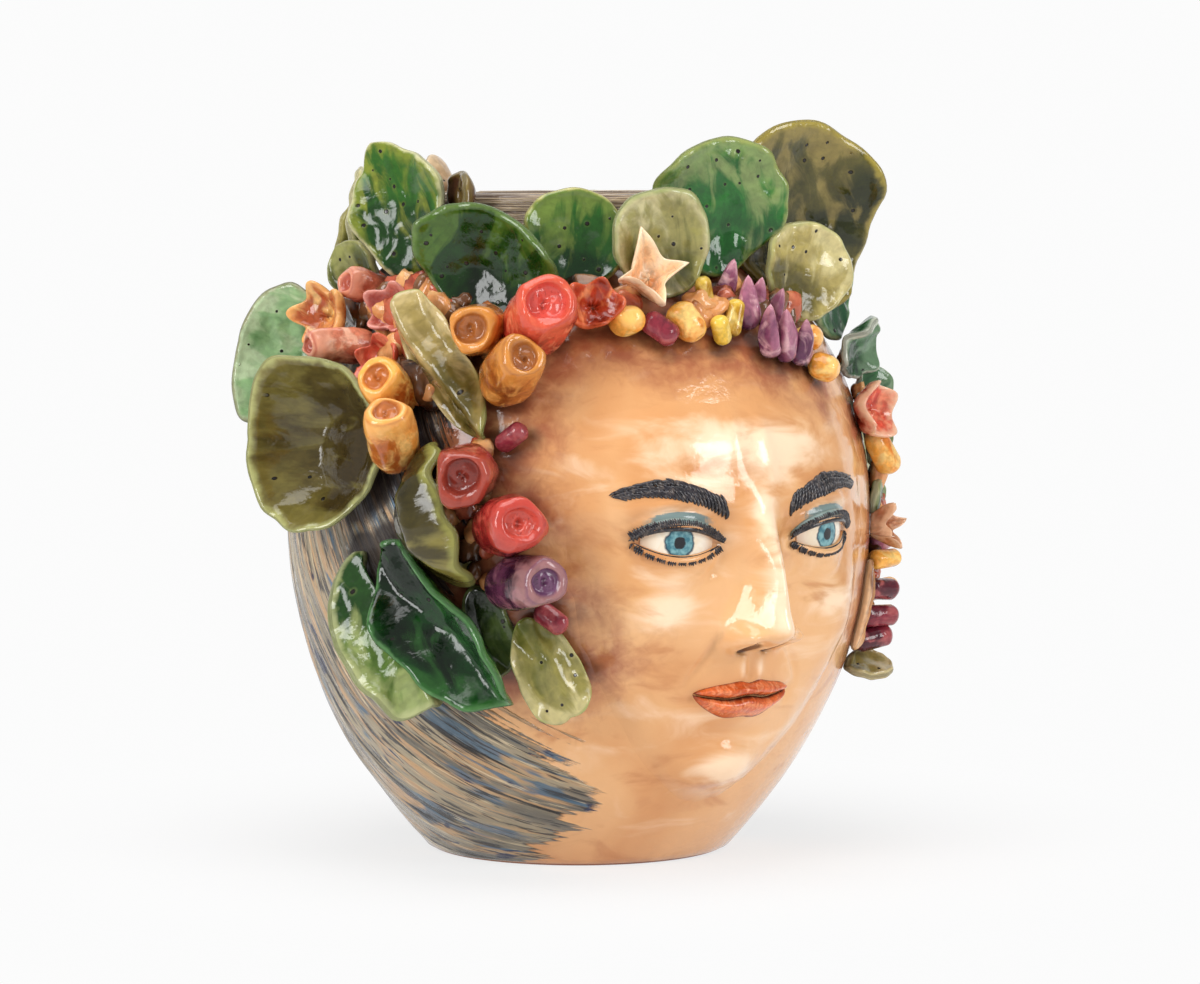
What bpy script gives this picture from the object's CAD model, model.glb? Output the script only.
# %% [markdown]
# # A glazed head jar with a wreath of cactus
# The real jar is red earthenware: a thrown pot, a face modelled on its belly, hair scratched into
# the clay, and a wreath of cactus pads, prickly pears and small flowers pressed on piece by piece.
# Each piece here is made the way a potter thinks of it, as one lump of clay that is pressed on the
# pot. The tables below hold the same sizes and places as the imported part, so that every piece lands
# where its solid stands and takes its place.

# %% Load the frame
import math
import random
import zlib

import bmesh
import bpy
from mathutils import Matrix, Vector, kdtree, noise


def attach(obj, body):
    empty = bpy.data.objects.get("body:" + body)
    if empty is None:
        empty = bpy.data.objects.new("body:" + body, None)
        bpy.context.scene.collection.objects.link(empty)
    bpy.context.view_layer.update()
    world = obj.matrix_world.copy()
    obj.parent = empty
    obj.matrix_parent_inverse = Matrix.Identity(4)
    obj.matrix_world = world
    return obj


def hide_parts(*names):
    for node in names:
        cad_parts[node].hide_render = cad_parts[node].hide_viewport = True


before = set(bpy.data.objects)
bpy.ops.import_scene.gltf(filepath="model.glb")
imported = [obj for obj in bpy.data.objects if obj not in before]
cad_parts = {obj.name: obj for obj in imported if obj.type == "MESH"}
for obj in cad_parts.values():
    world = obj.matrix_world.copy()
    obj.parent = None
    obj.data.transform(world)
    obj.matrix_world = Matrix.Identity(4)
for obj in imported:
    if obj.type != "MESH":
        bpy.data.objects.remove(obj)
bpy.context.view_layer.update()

# %% [markdown]
# The pot is thrown on a wheel, so one outline of radius against height describes it all. The sizes
# are millimetres, as a potter would note them, and a finished mesh is scaled to metres at the end.
# Round the pot, places are given as an azimuth: 0 at the face, growing towards the viewer's left.

# %% The pot's outline
MM = 0.001
POT_H, FOOT_R, BELLY_R, NECK_R = 332, 76, 148, 95
WALL, FLOOR_T, SEAT = 9, 12, 0.3
BELLY_Z, NECK_Z = POT_H * 0.518, POT_H - 34


def pot_r(z):
    if z < BELLY_Z:
        return FOOT_R + (BELLY_R - FOOT_R) * (1 - (1 - max(z, 0) / BELLY_Z) ** 2.2)
    if z < NECK_Z:
        return NECK_R + (BELLY_R - NECK_R) * (1 - ((z - BELLY_Z) / (NECK_Z - BELLY_Z)) ** 2.2)
    return NECK_R


def outward(az):
    turn = math.radians(az)
    return Vector((-math.sin(turn), -math.cos(turn), 0))


def at(az, z_share, stand):
    z = z_share * POT_H
    return outward(az) * (pot_r(z) + stand) + Vector((0, 0, z))


def facing(az, elevation):
    tilt = math.radians(elevation)
    return outward(az) * math.cos(tilt) + Vector((0, 0, math.sin(tilt)))


print("belly", pot_r(BELLY_Z), "collar", pot_r(POT_H))

# %% [markdown]
# Clay that touches the pot is either pressed flat against the wall or rests on it. Two helpers say
# so: one pushes a point out of the wall, the other gives the middle of a ball that rests on it.

# %% Pressing and resting
def pressed(p, least=0):
    r = math.hypot(p.x, p.y)
    limit = pot_r(p.z) + SEAT + least
    return Vector((p.x * limit / r, p.y * limit / r, p.z)) if 0 < r < limit else p


def resting(az, z_share, r):
    z, step = z_share * POT_H, POT_H / 200
    slope = (pot_r(z + step) - pot_r(z - step)) / (2 * step)
    lean = Vector((1, -slope)).normalized() * (r + SEAT)
    return outward(az) * max(pot_r(z) + lean.x, NECK_R + r + SEAT) + Vector((0, 0, z + lean.y))


def clamp(value, low=0.0, high=1.0):
    return min(max(value, low), high)


def smooth(value, low, high):
    t = clamp((value - low) / (high - low))
    return t * t * (3 - 2 * t)


def bump(distance, width):
    return math.exp(-((distance / width) ** 2))


def lumps(p, size, seed=0.0):
    return noise.noise(Vector((p[0] / size + seed * 7.31, p[1] / size - seed * 3.17, p[2] / size + seed)))


print("a ball on the shoulder rests at", resting(30, 0.8, 10))

# %% [markdown]
# A piece ends up in one place: an object at the origin whose mesh holds the piece where it sits.
# The wall of the pot is later stained where pieces crowd it, so each piece also leaves a few of its
# points in a list.

# %% Finishing a piece
crowded = []


def seed_of(name):
    return zlib.crc32(name.encode()) % 1000 / 100


def finish_piece(bm, name, finish, nodes=(), crowds=False):
    bmesh.ops.recalc_face_normals(bm, faces=bm.faces)
    if crowds:
        crowded.extend(v.co.copy() for i, v in enumerate(bm.verts) if i % 7 == 0)
    bmesh.ops.scale(bm, vec=(MM, MM, MM), verts=bm.verts)
    mesh = bpy.data.meshes.new(name)
    bm.to_mesh(mesh)
    bm.free()
    mesh.shade_smooth()
    mesh.materials.append(finish)
    piece = bpy.data.objects.new(name, mesh)
    bpy.context.scene.collection.objects.link(piece)
    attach(piece, "root")
    if nodes:
        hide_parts(*nodes)
    return piece


# %% [markdown]
# ## Glazes
# Every colour on the jar is a brushed, shiny glaze: thin over ridges, deep where it pooled, and a
# little uneven. Colours are written as they look on a screen and changed to linear light here.
# A few short helpers lay nodes, so that each glaze reads as a short recipe.

# %% Laying nodes
def paint(r, g, b):
    def linear(v):
        v /= 255
        return v / 12.92 if v <= 0.04045 else ((v + 0.055) / 1.055) ** 2.4
    return (linear(r), linear(g), linear(b), 1)


def plug(tree, node, sockets):
    for key, value in sockets.items():
        if isinstance(value, bpy.types.NodeSocket):
            tree.links.new(value, node.inputs[key])
        else:
            node.inputs[key].default_value = value
    return node


def add(tree, kind, sockets=None, **settings):
    node = tree.nodes.new("ShaderNode" + kind)
    for key, value in settings.items():
        setattr(node, key, value)
    return plug(tree, node, sockets or {})


def mix(tree, factor, a, b, blend="MIX"):
    return add(tree, "Mix", {0: factor, 6: a, 7: b}, data_type="RGBA", blend_type=blend).outputs[2]


def fade(tree, value, low, high, to_low=0.0, to_high=1.0):
    return add(tree, "MapRange", {"Value": value, "From Min": low, "From Max": high, "To Min": to_low,
                                  "To Max": to_high}, interpolation_type="SMOOTHSTEP").outputs[0]


def calc(tree, operation, a, b=0.0):
    return add(tree, "Math", {0: a, 1: b}, operation=operation).outputs[0]


def mottle(tree, place, scale, detail=3.0, distortion=0.0):
    return add(tree, "TexNoise", {"Vector": place, "Scale": scale, "Detail": detail,
                                  "Distortion": distortion}).outputs[0]


def sway(tree, noise_value, strength):
    return calc(tree, "MULTIPLY", calc(tree, "SUBTRACT", noise_value, 0.5), strength)


print("clay colour in linear light", paint(224, 166, 112))

# %% [markdown]
# Effects that many glazes share are node groups with named inputs. The first one lays a glaze in
# patches: deep where it pooled, thin and paler where the brush dragged. Its height goes to a bump,
# because a thick glaze stands a little higher than a thin one.

# %% Group: brushed glaze in patches
def new_group(name, inputs, outputs):
    tree = bpy.data.node_groups.new(name, "ShaderNodeTree")
    for label, kind, value in inputs:
        socket = tree.interface.new_socket(label, in_out="INPUT", socket_type="NodeSocket" + kind)
        if value is not None:
            socket.default_value = value
    for label, kind in outputs:
        tree.interface.new_socket(label, in_out="OUTPUT", socket_type="NodeSocket" + kind)
    return tree, tree.nodes.new("NodeGroupInput").outputs, tree.nodes.new("NodeGroupOutput").inputs


def use(tree, group, sockets):
    node = tree.nodes.new("ShaderNodeGroup")
    node.node_tree = group
    return plug(tree, node, sockets).outputs


patches, given, result = new_group(
    "Brushed glaze",
    [("Place", "Vector", None), ("Deep", "Color", (0, 0, 0, 1)), ("Body", "Color", (0.5, 0.5, 0.5, 1)),
     ("Thin", "Color", (1, 1, 1, 1)), ("Patch Scale", "Float", 45.0), ("Streaks", "Float", 0.5),
     ("Paler", "Float", 0.0)],
    [("Color", "Color"), ("Height", "Float")])
pools = mottle(patches, given["Place"], given["Patch Scale"], 4, 0.7)
finer = calc(patches, "MULTIPLY", given["Patch Scale"], 2.4)
brush_way = add(patches, "VectorMath", {0: given["Place"], 1: (1.7, 0.7, 1.0)}, operation="MULTIPLY").outputs[0]
drags = mottle(patches, brush_way, finer, 5, 0.9)
pools = calc(patches, "ADD", pools, calc(patches, "MULTIPLY", given["Paler"], 0.30))
drags = calc(patches, "ADD", drags, calc(patches, "MULTIPLY", given["Paler"], 0.26))
grain = mottle(patches, given["Place"], calc(patches, "MULTIPLY", given["Patch Scale"], 11.0), 5, 0.5)
colour = mix(patches, fade(patches, pools, 0.37, 0.58), given["Deep"], given["Body"])
thin_at = calc(patches, "MULTIPLY", fade(patches, drags, 0.47, 0.66), given["Streaks"])
colour = mix(patches, thin_at, colour, given["Thin"])
pooled = calc(patches, "MULTIPLY", fade(patches, drags, 0.45, 0.28), 0.6)
colour = mix(patches, pooled, colour, given["Deep"])
shade = fade(patches, grain, 0.25, 0.75, 0.80, 1.12)
colour = mix(patches, 1.0, colour, add(patches, "CombineColor", {0: shade, 1: shade, 2: shade}).outputs[0],
             "MULTIPLY")
patches.links.new(colour, result["Color"])
high = calc(patches, "ADD", calc(patches, "MULTIPLY", pools, 0.8), calc(patches, "MULTIPLY", drags, 0.25))
patches.links.new(high, result["Height"])
print("group", patches.name, len(patches.nodes), "nodes")

# %% [markdown]
# A cactus pad is dotted with the points its prickles grow from. The potter pricks them with a
# needle before firing, and dark glaze runs into the holes. A Voronoi pattern scatters points that
# keep their distance, and only some of its cells get a hole, so the dots look hand made.

# %% Group: pricked holes
pricks, given, result = new_group(
    "Pricked holes", [("Place", "Vector", None), ("Cells", "Float", 80.0), ("Share", "Float", 0.5)],
    [("Hole", "Float"), ("Halo", "Float")])
cell = add(pricks, "TexVoronoi", {"Vector": given["Place"], "Scale": given["Cells"], "Randomness": 0.85},
           voronoi_dimensions="2D")
chosen = add(pricks, "SeparateColor", {0: cell.outputs["Color"]}).outputs
has_hole = calc(pricks, "LESS_THAN", chosen[0], given["Share"])
size = fade(pricks, chosen[1], 0.0, 1.0, 0.055, 0.105)
near = calc(pricks, "DIVIDE", cell.outputs["Distance"], size)
hole = calc(pricks, "MULTIPLY", fade(pricks, near, 1.15, 0.75), has_hole)
halo = calc(pricks, "MULTIPLY", fade(pricks, near, 2.3, 1.2), has_hole)
pricks.links.new(hole, result["Hole"])
pricks.links.new(halo, result["Halo"])
print("group", pricks.name, len(pricks.nodes), "nodes")

# %% [markdown]
# Glaze also has a skin of its own: slow waves left by the fingers under it, and a faint orange peel.
# This group gives both as a height, and is used by every glaze on the jar.

# %% Group: fired skin
fired, given, result = new_group(
    "Fired skin", [("Place", "Vector", None), ("Waves", "Float", 0.6)],
    [("Height", "Float"), ("Gloss", "Float")])
waves = calc(fired, "ADD", mottle(fired, given["Place"], 75.0, 2, 0.4),
             calc(fired, "MULTIPLY", mottle(fired, given["Place"], 170.0, 2, 0.6), 0.4))
peel = mottle(fired, given["Place"], 420.0, 3, 0.2)
high = calc(fired, "ADD", calc(fired, "MULTIPLY", waves, given["Waves"]), calc(fired, "MULTIPLY", peel, 0.10))
fired.links.new(high, result["Height"])
fired.links.new(fade(fired, mottle(fired, given["Place"], 30.0, 4, 0.8), 0.3, 0.7, 0.06, 0.17), result["Gloss"])
print("group", fired.name, len(fired.nodes), "nodes")

# %% [markdown]
# Every glaze ends in the same kind of shader, a coated surface with low roughness. The colour,
# roughness and bump vary over the surface, and the plain numbers sit on the shader itself.

# %% A glaze from its recipe
def new_glaze(name):
    material = bpy.data.materials.new(name)
    material.use_nodes = True
    shader = material.node_tree.nodes["Principled BSDF"]
    shader.inputs["IOR"].default_value = 1.52
    shader.inputs["Specular IOR Level"].default_value = 0.4
    shader.inputs["Coat Weight"].default_value = 0.15
    shader.inputs["Coat Roughness"].default_value = 0.04
    return material, material.node_tree, shader


def wire(tree, shader, colour, gloss, height, depth=0.0012, strength=0.6):
    tree.links.new(colour, shader.inputs["Base Color"])
    tree.links.new(gloss, shader.inputs["Roughness"])
    relief = add(tree, "Bump", {"Height": height, "Distance": depth, "Strength": strength})
    tree.links.new(relief.outputs[0], shader.inputs["Normal"])


def read(tree, name, output="Vector"):
    return add(tree, "Attribute", attribute_name=name).outputs[output]


def pad_glaze(name, deep, body, thin, rim, holes):
    material, tree, shader = new_glaze(name)
    leaf, edge = read(tree, "leaf"), read(tree, "edge", "Fac")
    paler = sway(tree, read(tree, "rise", "Fac"), 1.0)
    paler = calc(tree, "ADD", paler, fade(tree, edge, 0.70, 1.0, -0.10, 0.30))
    coat = use(tree, patches, {"Place": leaf, "Deep": paint(*deep), "Body": paint(*body),
                               "Thin": paint(*thin), "Patch Scale": 21.0, "Streaks": 0.75, "Paler": paler})
    dots = use(tree, pricks, {"Place": leaf, "Cells": 96.0, "Share": holes})
    skin = use(tree, fired, {"Place": leaf, "Waves": 0.8})
    ragged = calc(tree, "ADD", edge, calc(tree, "MULTIPLY", mottle(tree, leaf, 160.0, 3), 0.14))
    on_rim = calc(tree, "MULTIPLY", fade(tree, ragged, 0.995, 1.07), 0.75)
    colour = mix(tree, on_rim, coat["Color"], paint(*rim))
    colour = mix(tree, calc(tree, "MULTIPLY", dots["Halo"], 0.14), colour, paint(*thin))
    inside = calc(tree, "MULTIPLY", dots["Hole"], fade(tree, edge, 0.93, 0.86))
    colour = mix(tree, inside, colour, paint(30, 24, 20))
    high = calc(tree, "ADD", coat["Height"], skin["Height"])
    high = calc(tree, "ADD", high, calc(tree, "MULTIPLY", inside, -1.1))
    wire(tree, shader, colour, skin["Gloss"], high, 0.0015, 0.75)
    return material


print("glaze helper ready")

# %% [markdown]
# ## Cactus pads
# A pad is a lump of clay patted into a flat egg, its rim left thick and a little rolled, then bent
# while it is soft. Each row below says where the pad's root and tip stand (azimuth, share of the
# pot's height, distance off the wall), where its front looks, how wide and thick it is, how far it
# curls across and along, and how its rim ripples. Places that the photograph shows were read off it
# and moved by hand. A small search then shifted crown_pad_1, crown_pad_6, folded_pad_upper,
# cupped_pad, hanging_pad_1 and hanging_pad_3, and crown_fruit_1 and crown_fruit_3 further down.

# %% Table of the pads
PADS = {
    "fan_pad_front": ((79, 0.865, 0.03), (99.5, 1.07, 0.22), (66, 5), 0.78, 1.0, 0.14, -0.10, 0.03, 20),
    "fan_pad_back": ((113, 0.86, 0.03), (116, 1.04, 0.20), (130, 0), 0.58, 1.0, 0.16, 0.05, 0.03, 80),
    "brown_pad_near": ((70, 0.940, 0.03), (66, 1.03, 0.16), (112, 0), 0.44, 0.8, 0.20, 0.10, 0.03, 0),
    "brown_pad_far": ((174, 0.93, 0.03), (171, 1.055, 0.20), (140, 0), 0.46, 0.8, 0.15, 0.10, 0.03, 60),
    "crown_pad_1": ((62.5, 0.826, 0.04), (51, 0.969, 0.37), (48, 8), 1.06, 1.0, 0.12, 0.08, 0.015, 30),
    "crown_pad_2": ((37.5, 0.860, 0.03), (33.5, 1.003, 0.06), (28, 5), 0.70, 1.0, 0.06, 0.02, 0.02, 140),
    "crown_pad_3": ((9.5, 0.850, 0.03), (18, 1.005, 0.34), (20, 8), 0.64, 1.0, 0.08, 0.08, 0.02, 60),
    "crown_pad_4": ((-9, 0.88, 0.03), (-1.5, 1.08, 0.2), (12, 8), 1.08, 1.0, 0.06, 0.05, 0.03, 200),
    "crown_pad_5": ((-43, 0.815, 0.062), (-30, 1.1, 0.26), (5, 8), 1.24, 1.1, 0.12, 0.1, 0.04, 250),
    "crown_pad_6": ((-27.2, 0.811, 0.052), (-31.5, 0.953, 0.472), (-1, 4), 0.76, 1.0, 0.08, 0.06, 0.02, 10),
    "crown_pad_7": ((-53, 0.775, 0.03), (-60, 0.94, 0.50), (-28, 5), 0.60, 1.0, 0.10, 0.08, 0.03, 330),
    "left_temple_pad_1": ((-45, 0.742, 0.03), (-58, 0.782, 0.40), (0, -25), 0.42, 0.9, 0.20, 0.10, 0.03, 0),
    "left_temple_pad_2": ((-55, 0.676, 0.03), (-61, 0.712, 0.34), (-18, 0), 0.36, 0.9, -0.05, 0.05, 0.02, 90),
    "left_temple_pad_3": ((-55, 0.585, 0.03), (-60, 0.640, 0.20), (-25, 0), 0.30, 0.9, 0.05, 0.05, 0.02, 0),
    "left_cheek_pad": ((-53, 0.505, 0.03), (-57, 0.56, 0.10), (-40, 0), 0.24, 0.9, 0.05, 0.05, 0.02, 0),
    "jaw_slab": ((-46.5, 0.445, 0.03), (-48, 0.305, 0.03), (-15, 0), 0.20, 0.8, 0.05, 0.02, 0.02, 0),
    "left_jaw_pad": ((-50, 0.274, 0.03), (-57, 0.280, 0.34), (-20, 50), 0.28, 0.9, 0.15, 0.05, 0.02, 0),
    "right_ear_pad": ((100, 0.735, 0.02), (107, 0.778, 0.72), (48, 8), 0.92, 1.0, 0.06, 0.04, 0.015, 100),
    "right_back_pad": ((99.5, 0.845, 0.01), (105, 0.925, 0.42), (74, 0), 0.40, 1.0, 0.10, -0.12, 0.03, 0),
    "cupped_pad": ((74.6, 0.64, 0.14), (93.5, 0.641, 0.48), (55, 1), 1.26, 1.1, 0.17, 0.14, 0.012, 0),
    "folded_pad_upper": ((51.8, 0.651, 0.112), (73.1, 0.84, 0.512), (51, -15), 0.4, 1.4, -0.24, -0.05, 0.02, 0),
    "folded_pad_lower": ((63, 0.642, 0.18), (56, 0.448, 0.24), (-48, 0), 0.5, 1.5, 0.12, 0.22, 0.03, 40),
    "hanging_pad_1": ((73.6, 0.493, 0.09), (48, 0.276, 0.42), (92, 15), 0.6, 1.0, 0.14, 0.05, 0.03, 120),
    "hanging_pad_2": ((82.6, 0.465, 0.03), (64, 0.262, 0.3), (8, -2), 0.56, 1.0, 0.26, 0.05, 0.05, 220),
    "hanging_pad_3": ((45, 0.388, 0.03), (36.3, 0.255, 0.27), (35, 7), 0.44, 1.1, -0.06, -0.08, 0.05, 200),
    "hanging_pad_4": ((54.4, 0.44, 0.03), (49.5, 0.31, 0.07), (26, 0), 0.32, 0.9, 0.12, 0.06, 0.03, 60),
    "left_side_pad_1": ((-76, 0.78, 0.03), (-82, 0.955, 0.38), (-78, 8), 0.76, 1.0, 0.10, 0.08, 0.02, 40),
    "left_side_pad_2": ((-70, 0.62, 0.03), (-86, 0.55, 0.46), (-64, 8), 0.70, 1.0, 0.14, 0.10, 0.02, 140),
    "back_pad_1": ((136, 0.81, 0.03), (133, 0.985, 0.24), (138, 6), 0.80, 1.0, 0.10, 0.08, 0.02, 30),
    "back_pad_2": ((-146, 0.81, 0.03), (-141, 1.0, 0.26), (-145, 6), 0.86, 1.0, 0.08, 0.10, 0.02, 150),
}
PAD_LEN, PAD_T = 70, 6
FRUIT_R, FRUIT_LEN = 14, 34
FLOWER_R, BUD_R, BUD_LEN = 14, 9, 26
print(len(PADS), "pads")

# %% [markdown]
# A sphere pressed flat is the quickest closed shape with a rounded rim: its equator becomes the rim,
# and its two halves the front and the back. Rings are crowded towards the rim, where the clay turns
# over. The plain point function is kept apart, because one flower sits on a pad.

# %% Shape of a pad
# fuller, stretch, thick: shares of its width, length and thickness; frill, cup, fold: how far the rim
# waves, the middle dips and the sides fold, as shares of the width; ridges: their height in mm;
# belly, bend: how far its middle and its tip lean aside in mm; narrow, taper: how much slimmer it is
# towards the tip and towards the root
PLAIN = {"fuller": 1.04, "stretch": 1.0, "frill": 0.014, "ridges": 0.0, "cup": 0.02, "fold": 0.0, "narrow": 0.0,
         "belly": 0.0, "bend": 0.0, "thick": 1.0, "taper": 0.0}
PAD_STYLE = {
    "fan_pad_front": {"belly": 6.0, "narrow": 0.24, "frill": 0.03, "taper": 0.16},
    "fan_pad_back": {"narrow": 0.1},
    "crown_pad_1": {"cup": 0.05}, "crown_pad_2": {"fuller": 1.08}, "crown_pad_3": {"fuller": 1.10},
    "crown_pad_4": {"fuller": 0.98, "frill": 0.03, "belly": 2.0}, "crown_pad_5": {"frill": 0.03, "cup": 0.08},
    "right_ear_pad": {"fuller": 1.08, "narrow": -0.1},
    "cupped_pad": {"fuller": 0.95, "stretch": 1.26, "cup": 0.20, "narrow": -0.10, "frill": 0.012},
    "folded_pad_upper": {"fuller": 0.92, "ridges": 3.3, "narrow": -0.25, "bend": 7.0, "frill": 0.04},
    "folded_pad_lower": {"fuller": 1.14, "cup": 0.42, "frill": 0.08, "ridges": 1.7, "narrow": -0.15},
    "hanging_pad_1": {"fuller": 1.12, "frill": 0.08, "fold": 0.34, "narrow": 0.10},
    "hanging_pad_2": {"fuller": 1.22, "frill": 0.07, "fold": -0.62, "ridges": 1.2, "thick": 1.25},
    "hanging_pad_3": {"fuller": 1.00, "frill": 0.09, "ridges": 1.4, "narrow": -0.20, "stretch": 1.06},
    "hanging_pad_4": {"fuller": 1.10, "frill": 0.03}, "left_temple_pad_1": {"frill": 0.06, "ridges": 0.8},
}


def pressed_flat(co, crowding):
    ring = 1 - abs(math.asin(clamp(co.z, -1, 1))) / (math.pi / 2)
    side = 0 if abs(co.z) < 1e-4 else math.copysign(1, co.z)
    return 1 - (1 - ring) ** crowding, side


def pad_frame(row):
    root, tip = (at(az, z, stand * PAD_LEN) for az, z, stand in row[:2])
    along = (tip - root).normalized()
    look = facing(*row[2])
    front = (look - look.dot(along) * along).normalized()
    return root, along.cross(front), along, front, row[3] * PAD_LEN, (tip - root).length


def pad_point(row, share, spoke, side, seed=None, style=PLAIN):
    root, across, along, front, wide, long = pad_frame(row)
    curl_across, curl_along, ripple, phase = row[5:]
    reach, dent, rolled = 1.0, 0.0, 0.0
    if seed is not None:
        reach = style["fuller"] * (1 - style["taper"] * smooth(-math.cos(spoke), -0.2, 1))
        reach *= 1 - style["narrow"] * max(math.cos(spoke), 0) * abs(math.sin(spoke)) * 1.6
        reach += 0.030 * math.sin(3 * spoke + seed) + 0.022 * math.sin(5 * spoke + 2.3 * seed)
        reach += 0.012 * math.sin(11 * spoke + 4 * seed)
    x = math.sin(spoke) * (1 + 0.16 * math.cos(spoke)) * share * reach
    y = math.cos(spoke) * share * (1 + (reach - 1) * 0.6 * smooth(math.cos(spoke), -0.8, -0.2))
    half = row[4] * PAD_T / 2 * (1 - 0.45 * share ** 6)
    if seed is not None:
        place = (x * wide / 2, y * long / 2, 0)
        dent = 1.9 * lumps(place, 17, seed) + 1.1 * lumps(place, 8, seed + 3)
        waves = math.sin(5 * spoke + 3 * seed) + 0.5 * math.sin(9 * spoke + seed)
        dent += wide * share ** 4 * style["frill"] * waves
        dent += style["ridges"] * math.cos(5.5 * x + 1.1 * math.sin(2.5 * y + seed))
        dent += wide * (style["cup"] * (share ** 2 - 0.6) + style["fold"] * (abs(x) ** 1.3 - 0.4))
        half = style["thick"] * row[4] * PAD_T / 2 * (1 - 0.36 * share ** 3)
        half += 0.35 * lumps(place, 9, seed + side)
        half *= math.sqrt(max(1 - clamp((share - 0.91) / 0.09) ** 2, 0))
        rolled = 0.5 * bump(share - 0.94, 0.04) * (side > 0)
    lift = wide * (curl_across * x * x + curl_along * (y * y - 1)
                   + ripple * share ** 4 * math.sin(3 * spoke + math.radians(phase))) + dent
    slope = Vector((-4 * curl_across * x, -4 * curl_along * y * wide / long, 1)).normalized()
    aside = style["belly"] * (1 - y * y) + style["bend"] * (y + 1) / 2 if seed is not None else 0
    local = Vector((x * wide / 2 + aside, (y * style["stretch"] + 1) * long / 2, lift))
    local += slope * (side * half + rolled)
    outer = (side > 0) == (front.dot(outward(row[0][0])) > 0)
    p = root + across * local.x + along * local.y + front * local.z
    return pressed(p, 2 * half if outer else 0), Vector((x * wide / 2, (y + 1) * long / 2, 0))


def pad(name, finish):
    row, seed, style = PADS[name], seed_of(name), {**PLAIN, **PAD_STYLE.get(name, {})}
    bm = bmesh.new()
    bmesh.ops.create_uvsphere(bm, u_segments=96, v_segments=40, radius=1)
    leaf, edge = bm.verts.layers.float_vector.new("leaf"), bm.verts.layers.float.new("edge")
    rise, long = bm.verts.layers.float.new("rise"), pad_frame(row)[5]
    for v in bm.verts:
        share, side = pressed_flat(v.co, 1.5)
        p, flat = pad_point(row, share, math.atan2(v.co.x, v.co.y), side, seed, style)
        v.co = p
        v[leaf] = flat * MM + Vector((seed * 0.37, seed * 0.21 + 0.15 * side, 0.05 * side))
        v[edge], v[rise] = share, clamp(flat.y / long)
    return finish_piece(bm, name, finish, [name], crowds=True)


print("a pad's tip", pad_point(PADS["crown_pad_4"], 1, 0, 0)[0])

# %% [markdown]
# Each pad has its own mix of three glazes and a rim colour: bright green, olive, straw or brown.
# The colours were set by eye with the help of averages read at spots of the photograph, as were
# those of the other glazes. The patch pattern differs from pad to pad with its seed.

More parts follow.
